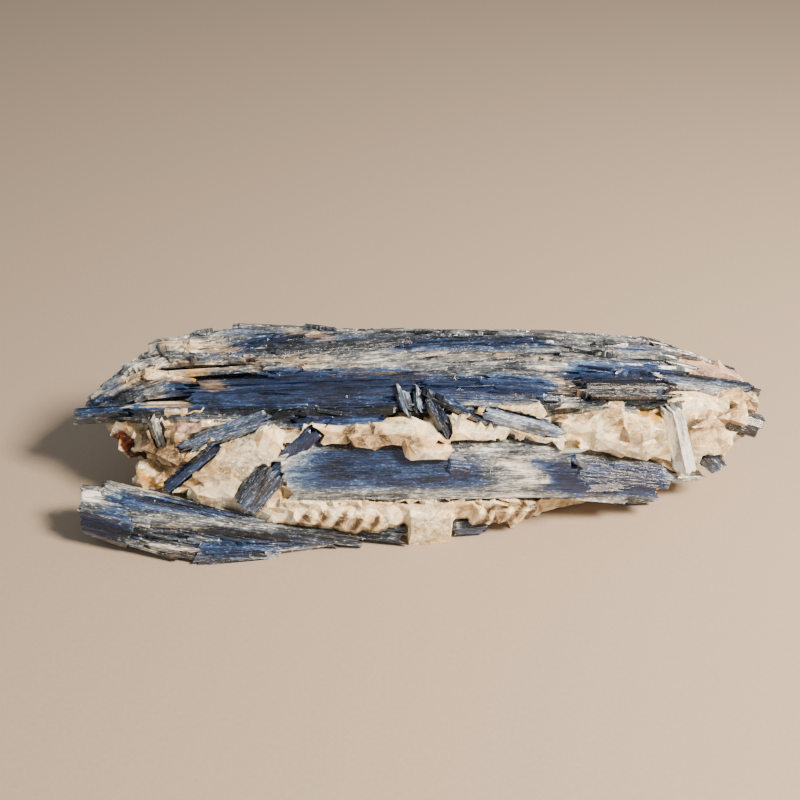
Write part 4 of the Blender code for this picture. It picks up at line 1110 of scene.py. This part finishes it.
def remeshed(work, cell):
    """The outer surface of a bmesh of closed shells, as corners, normals and faces of one fine mesh."""
    mesh = bpy.data.meshes.new("shells")
    bmesh.ops.recalc_face_normals(work, faces=work.faces)
    work.to_mesh(mesh)
    work.free()
    return changed(mesh, ("REMESH", {"mode": "VOXEL", "voxel_size": cell}))[:3]


def hollows(points, width, depth, tilt, seed):
    """Heights that scoop a surface into shell-like hollows with sharp edges between them, the way
    that quartz breaks."""
    chance = np.random.default_rng(seed)
    spots = chance.uniform(0, 1, (CELL_TABLE,) * 3 + (3,))
    slopes = chance.normal(0, tilt, (CELL_TABLE,) * 3 + (3,))
    cells = np.floor(points / width).astype(int)
    nearest = np.full(len(points), np.inf)
    height = np.zeros(len(points))
    for shift in product((-1, 0, 1), repeat=3):
        cell = cells + shift
        key = tuple((cell % CELL_TABLE).T)
        arm = points - (cell + spots[key]) * width
        gap = (arm ** 2).sum(1)
        closer = gap < nearest
        nearest[closer] = gap[closer]
        height[closer] = (depth * gap / (width / 2) ** 2 + (arm * slopes[key]).sum(1))[closer]
    return height - height.mean()


def uneven_at(points, *layers):
    """Smooth random values at points, from layers of a scale per mm and a strength."""
    return np.array([sum(noise.noise(Vector(p) * scale) * strength for scale, strength in layers)
                     for p in points])


# How far quartz moves as it breaks, in mm: the most that large and small hollows move it, its grit,
# and how far it ends below the blocks that it is made from
LARGE_MOST, SMALL_MOST, GRIT, BELOW = 0.6, 0.3, 0.06, 0.1
# The share of the large hollows that stays where it isn't sugary, and the share of all this that goes
# where it broke whole
CALM, WHOLE = 0.45, 0.85


def break_surface(points, normals, settings, seed):
    """Moves a quartz surface in and out, so that it is freshly broken: sugary in places, and smooth
    on the faces that broke whole."""
    width, depth = settings.hollow / MM, settings.hollow_depth / MM
    large = hollows(points, width, depth, settings.tilt, seed)
    small = hollows(points, width * SMALL_HOLLOW[0], depth * SMALL_HOLLOW[1], settings.tilt, seed + 1)
    sugary = np.clip(uneven_at(points, (0.13, 4)) + 0.4, 0, 1)
    whole = streak_weights(points, QUARTZ_STREAKS, ("whole",))[:, 0]
    move = np.clip(large, -LARGE_MOST, LARGE_MOST) * (CALM + (1 - CALM) * sugary)
    move += np.clip(small, -SMALL_MOST, SMALL_MOST) * sugary
    move = (move + GRIT * uneven_at(points, (0.9, 1)) - BELOW) * (1 - WHOLE * whole)
    return points + normals * move[:, None]


def from_blade(points, blade):
    """Where points are for a blade: along it, across it and out of its face, in mm. Then its length
    and the way out of its face."""
    tail, *axes, length = blade_frame(blade)
    return (*((points - np.array(tail)) @ np.array(axes).T).T, length, np.array(axes[2]))


def clear_of_blades(points, blades, proud):
    """Takes quartz that just breaks through a blade's face back below it."""
    for blade in blades:
        along, across, up, length, out = from_blade(points, blade)
        half = np.interp(along / length, (0, *WAIST, 1), (blade.taper0, 1, 1, blade.taper1))
        half *= blade.wide / 2
        inside = (along > 0.2) & (along < length - 0.2) & (np.abs(across) < half)
        inside &= (up > -0.4 * blade.thick) & (up < 0.5 * blade.thick + proud)
        points[inside] -= np.outer(up[inside] + 0.3 * blade.thick, out)
    return points


def bank_against(points, blades, reach):
    """Raises quartz beside a blade that is set in it, so that it holds the blade by a ragged edge."""
    wander = uneven_at(points, (0.42, 1), (1.1, 0.5))
    for blade in blades:
        along, across, up, length, out = from_blade(points, blade)
        # the edge wanders, by up to about a fifth of the width of a blade, and slopes down from it
        beside = np.abs(across) - blade.wide / 2 + 0.26 * blade.wide ** 0.8 * (wander + 0.1)
        target = 0.5 * blade.thick + 0.15 - 0.35 * np.maximum(beside, 0)
        near = (along > -0.5) & (along < length + 0.5) & (beside > -0.2) & (beside < reach)
        near &= (up < target) & (up > -0.5 * blade.thick - 1.5)
        fade = np.clip(1.3 * (1 - beside / reach), 0, 1)[near]
        points[near] += np.outer((target - up)[near] * fade, out)
    return points


def eased(points, faces):
    """Takes the stair steps off a surface of quads, by drawing each point toward those round it."""
    near, far = np.concatenate([np.array(faces)[:, (i, (i + 1) % 4)] for i in range(4)]).T
    around = np.stack([np.bincount(near, points[far, k], len(points)) for k in range(3)], 1)
    return 0.5 * points + 0.5 * around / np.bincount(near)[:, None]


def finish_quartz(name, node, points, faces, share, blades=(), shift=(0, 0, 0)):
    """A surface as a piece of quartz in flat facets with sharp edges, each cut up again so that it
    can carry tones. Facets are painted lighter or darker by the way that they face: painted light
    and shade, standing in for the light that each reflects and lets through."""
    points, _, faces, looks = changed(
        new_mesh("facets", points.tolist(), faces), ("DECIMATE", {"ratio": share}),
        ("SUBSURF", {"subdivision_type": "SIMPLE", "levels": 2, "render_levels": 2}))
    points = clear_of_blades(points, blades, proud=0.2) + shift
    # painted light and shade of the facets, from the way that each faces
    light = PAINTED_FACET_SHADE * sum(np.sin(looks @ way) for way in PAINTED_SHADE_WAYS)
    finish_piece(name, node, points, faces, points, light, (*QUARTZ_STREAKS, *plate_streaks()),
                 QUARTZ_TONES, surface("quartz_broken", broken_quartz))


# ---------------------------------------------------------------- operators

class MINERAL_OT_upper_bundle(bpy.types.Operator):
    """Grows the upper bundle of blades"""
    bl_idname = "mineral.upper_bundle"
    bl_label = "Upper bundle"

    def execute(self, context):
        settings = context.scene.kyanite_settings
        pile = Pile()
        lay_core(pile, (*UPPER_SKIN.rails, BELLY, JAW), UPPER_STATIONS, inset=1.0)
        for blade in UPPER_BLADES:
            lay_blade(pile, skin_blade(blade, UPPER_SKIN), pile.strand * 0.9, pile.relief * 0.85, fray=2.5)
        chance = random.Random(7)
        grow_small(pile, chance, settings.upper_small, UPPER_SMALL, UPPER_SKIN, pile.strand * 0.8)
        grow_small(pile, chance, settings.needles, UPPER_NEEDLES, UPPER_SKIN, NEEDLE_WIDTH)
        streaks = [Streak(skin_point(UPPER_SKIN, x0, a0)[0], skin_point(UPPER_SKIN, x1, a1)[0], *colour)
                   for x0, x1, a0, a1, *colour in UPPER_STREAKS]
        pile.finish("upper_blades", "upper_blade_bundle", streaks)
        return {"FINISHED"}


class MINERAL_OT_lower_bundle(bpy.types.Operator):
    """Grows the lower bundle of blades"""
    bl_idname = "mineral.lower_bundle"
    bl_label = "Lower bundle"

    def execute(self, context):
        settings = context.scene.kyanite_settings
        pile = Pile()
        lay_core(pile, (*SHELF_SKIN.rails, SHELF_BACK, SHELF_HEEL), SHELF_STATIONS, inset=1.6)
        for blade in (*SHELF_BLADES, *SHELF_END):
            ragged = 0.12 if blade.x0 < BLUNT_END else 0.5
            lay_blade(pile, skin_blade(blade, SHELF_SKIN), pile.strand, pile.relief * 0.8, ragged=ragged)
        chance = random.Random(11)
        grow_small(pile, chance, settings.lower_small, SHELF_SMALL, SHELF_SKIN, pile.strand * 0.7)
        pile.finish("lower_blades", "lower_blade_bundle", SHELF_STREAKS)
        return {"FINISHED"}


class MINERAL_OT_front_blade(bpy.types.Operator):
    """Grows the broad blade on the front"""
    bl_idname = "mineral.front_blade"
    bl_label = "Front blade"

    def execute(self, context):
        pile = Pile()
        for blade in FRONT_BLADES:
            lay_blade(pile, blade, pile.strand * 1.6, pile.relief * 0.5, fray=4.0)
        pile.finish("broad_front_blade", "front_blade", FRONT_STREAKS)
        return {"FINISHED"}


class MINERAL_OT_lone_blades(bpy.types.Operator):
    """Grows the blades that stand alone in the quartz"""
    bl_idname = "mineral.lone_blades"
    bl_label = "Lone blades"

    def execute(self, context):
        for node, tones, ragged, sunk, *shape in LONE_BLADES:
            pile = Pile()
            lay_blade(pile, lone_blade(sunk, shape), pile.strand * (0.6 + 0.2 / ragged), pile.relief * 0.6,
                      fray=2.5 * ragged, ragged=ragged)
            pile.finish(node.replace("_blade", "") + "_crystal_look", node, (), tones)
        return {"FINISHED"}


class MINERAL_OT_quartz(bpy.types.Operator):
    """Breaks the quartz that holds the blades, and the quartz in the upper bundle's pockets"""
    bl_idname = "mineral.quartz"
    bl_label = "Quartz"

    def execute(self, context):
        settings = context.scene.quartz_settings
        cell = settings.grain / MM
        lone = [(sunk, lone_blade(sunk, shape)) for _, _, _, sunk, *shape in LONE_BLADES]
        holding = [FRONT_BLADES[0], *(blade for sunk, blade in lone if sunk)]
        blades = [*(skin_blade(blade, UPPER_SKIN) for blade in UPPER_BLADES),
                  *(skin_blade(blade, SHELF_SKIN) for blade in SHELF_BLADES),
                  *FRONT_BLADES, *(blade for _, blade in lone)]
        work = bmesh.new()
        add_shell(work)
        for lumps in (LUMPS, chip_lumps(settings.chips), *map(scatter_lumps, SCATTERS),
                      *map(plate_lumps, PLATE_ROWS)):
            for lump in lumps:
                add_lump(work, lump)
        points, normals, faces = remeshed(work, cell)
        points = break_surface(eased(points, faces), normals, settings, seed=3)
        points = clear_of_blades(points, blades, proud=1.8)
        points = bank_against(points, holding, reach=3.2)
        finish_quartz("quartz_mass", "quartz_matrix", eased(points, faces), faces, settings.facets, blades)
        for node, lump in QUARTZ_POCKETS.items():
            work = bmesh.new()
            add_lump(work, lump)
            points, normals, faces = remeshed(work, cell * POCKET_DETAIL)
            points = break_surface(points, normals, settings, seed=lump.seed)
            finish_quartz(node.replace("_quartz_pocket", "_pocket_quartz"), node, points, faces,
                          settings.facets, shift=POCKET_SHIFT)
        return {"FINISHED"}


class MINERAL_OT_stage(bpy.types.Operator):
    """Sets the floor, the light and the camera"""
    bl_idname = "mineral.stage"
    bl_label = "Stage"

    def execute(self, context):
        scene, settings = context.scene, context.scene.stage_settings
        low, high = -FLOOR_REACH, FLOOR_REACH
        corners = [(low, low, 0), (high, low, 0), (high, high, 0), (low, high, 0)]
        floor = put("floor", new_mesh("floor", corners, [(0, 1, 2, 3)]))
        floor.data.materials.append(surface("cloth_matt", matt_cloth))

        key = bpy.data.lights.new("key", "AREA")
        key.energy = settings.key_power
        key.size = KEY_SIZE
        key.color = linear(HEX["key"])[:3]
        self.aim(put("key", key), KEY_PLACE, KEY_TARGET - KEY_PLACE)

        scene.world = bpy.data.worlds.new("soft_sky")
        scene.world.use_nodes = True
        feed(scene.world.node_tree.nodes["Background"],
             {"Color": linear(HEX["sky"]), "Strength": settings.fill_strength})

        forward = Vector((0, math.cos(CAMERA_ELEVATION), -math.sin(CAMERA_ELEVATION)))
        lens = bpy.data.cameras.new("camera")
        lens.sensor_width = SENSOR
        lens.lens = SENSOR / 2 / math.tan(CAMERA_ANGLE / 2)
        lens.clip_start = 0.01
        scene.camera = put("camera", lens)
        spot = (CAMERA_TARGET - forward * CAMERA_DISTANCE + BENCH_TO_FRAME) * MM
        self.aim(scene.camera, spot, forward)
        return {"FINISHED"}

    def aim(self, thing, spot, way):
        """Puts a thing in its place, looking a way."""
        thing.location = spot
        thing.rotation_euler = way.to_track_quat("-Z", "Y").to_euler()


class MINERAL_PT_panel(bpy.types.Panel):
    """The specimen's settings and steps"""
    bl_idname = "MINERAL_PT_panel"
    bl_label = "Kyanite cluster"
    bl_space_type = "VIEW_3D"
    bl_region_type = "UI"
    bl_category = "Kyanite"

    def draw(self, context):
        for label, kind in GROUPS.items():
            box = self.layout.box()
            for setting in kind.__annotations__:
                box.prop(getattr(context.scene, label), setting)
        for step in STEPS:
            self.layout.operator(step.bl_idname)


STEPS = (MINERAL_OT_upper_bundle, MINERAL_OT_lower_bundle, MINERAL_OT_front_blade, MINERAL_OT_lone_blades,
         MINERAL_OT_quartz, MINERAL_OT_stage)
GROUPS = {"kyanite_settings": KyaniteSettings, "quartz_settings": QuartzSettings,
          "stage_settings": StageSettings}


def register():
    for label, group in GROUPS.items():
        bpy.utils.register_class(group)
        setattr(bpy.types.Scene, label, PointerProperty(type=group))
    for step in (*STEPS, MINERAL_PT_panel):
        bpy.utils.register_class(step)


def unregister():
    for step in (*STEPS, MINERAL_PT_panel):
        bpy.utils.unregister_class(step)
    for label, group in GROUPS.items():
        delattr(bpy.types.Scene, label)
        bpy.utils.unregister_class(group)


def main():
    register()
    for step in STEPS:
        family, verb = step.bl_idname.split(".")
        result = getattr(getattr(bpy.ops, family), verb)()
        if result != {"FINISHED"}:
            raise RuntimeError(f"{step.bl_idname} did not finish")


if __name__ == "__main__":
    main()
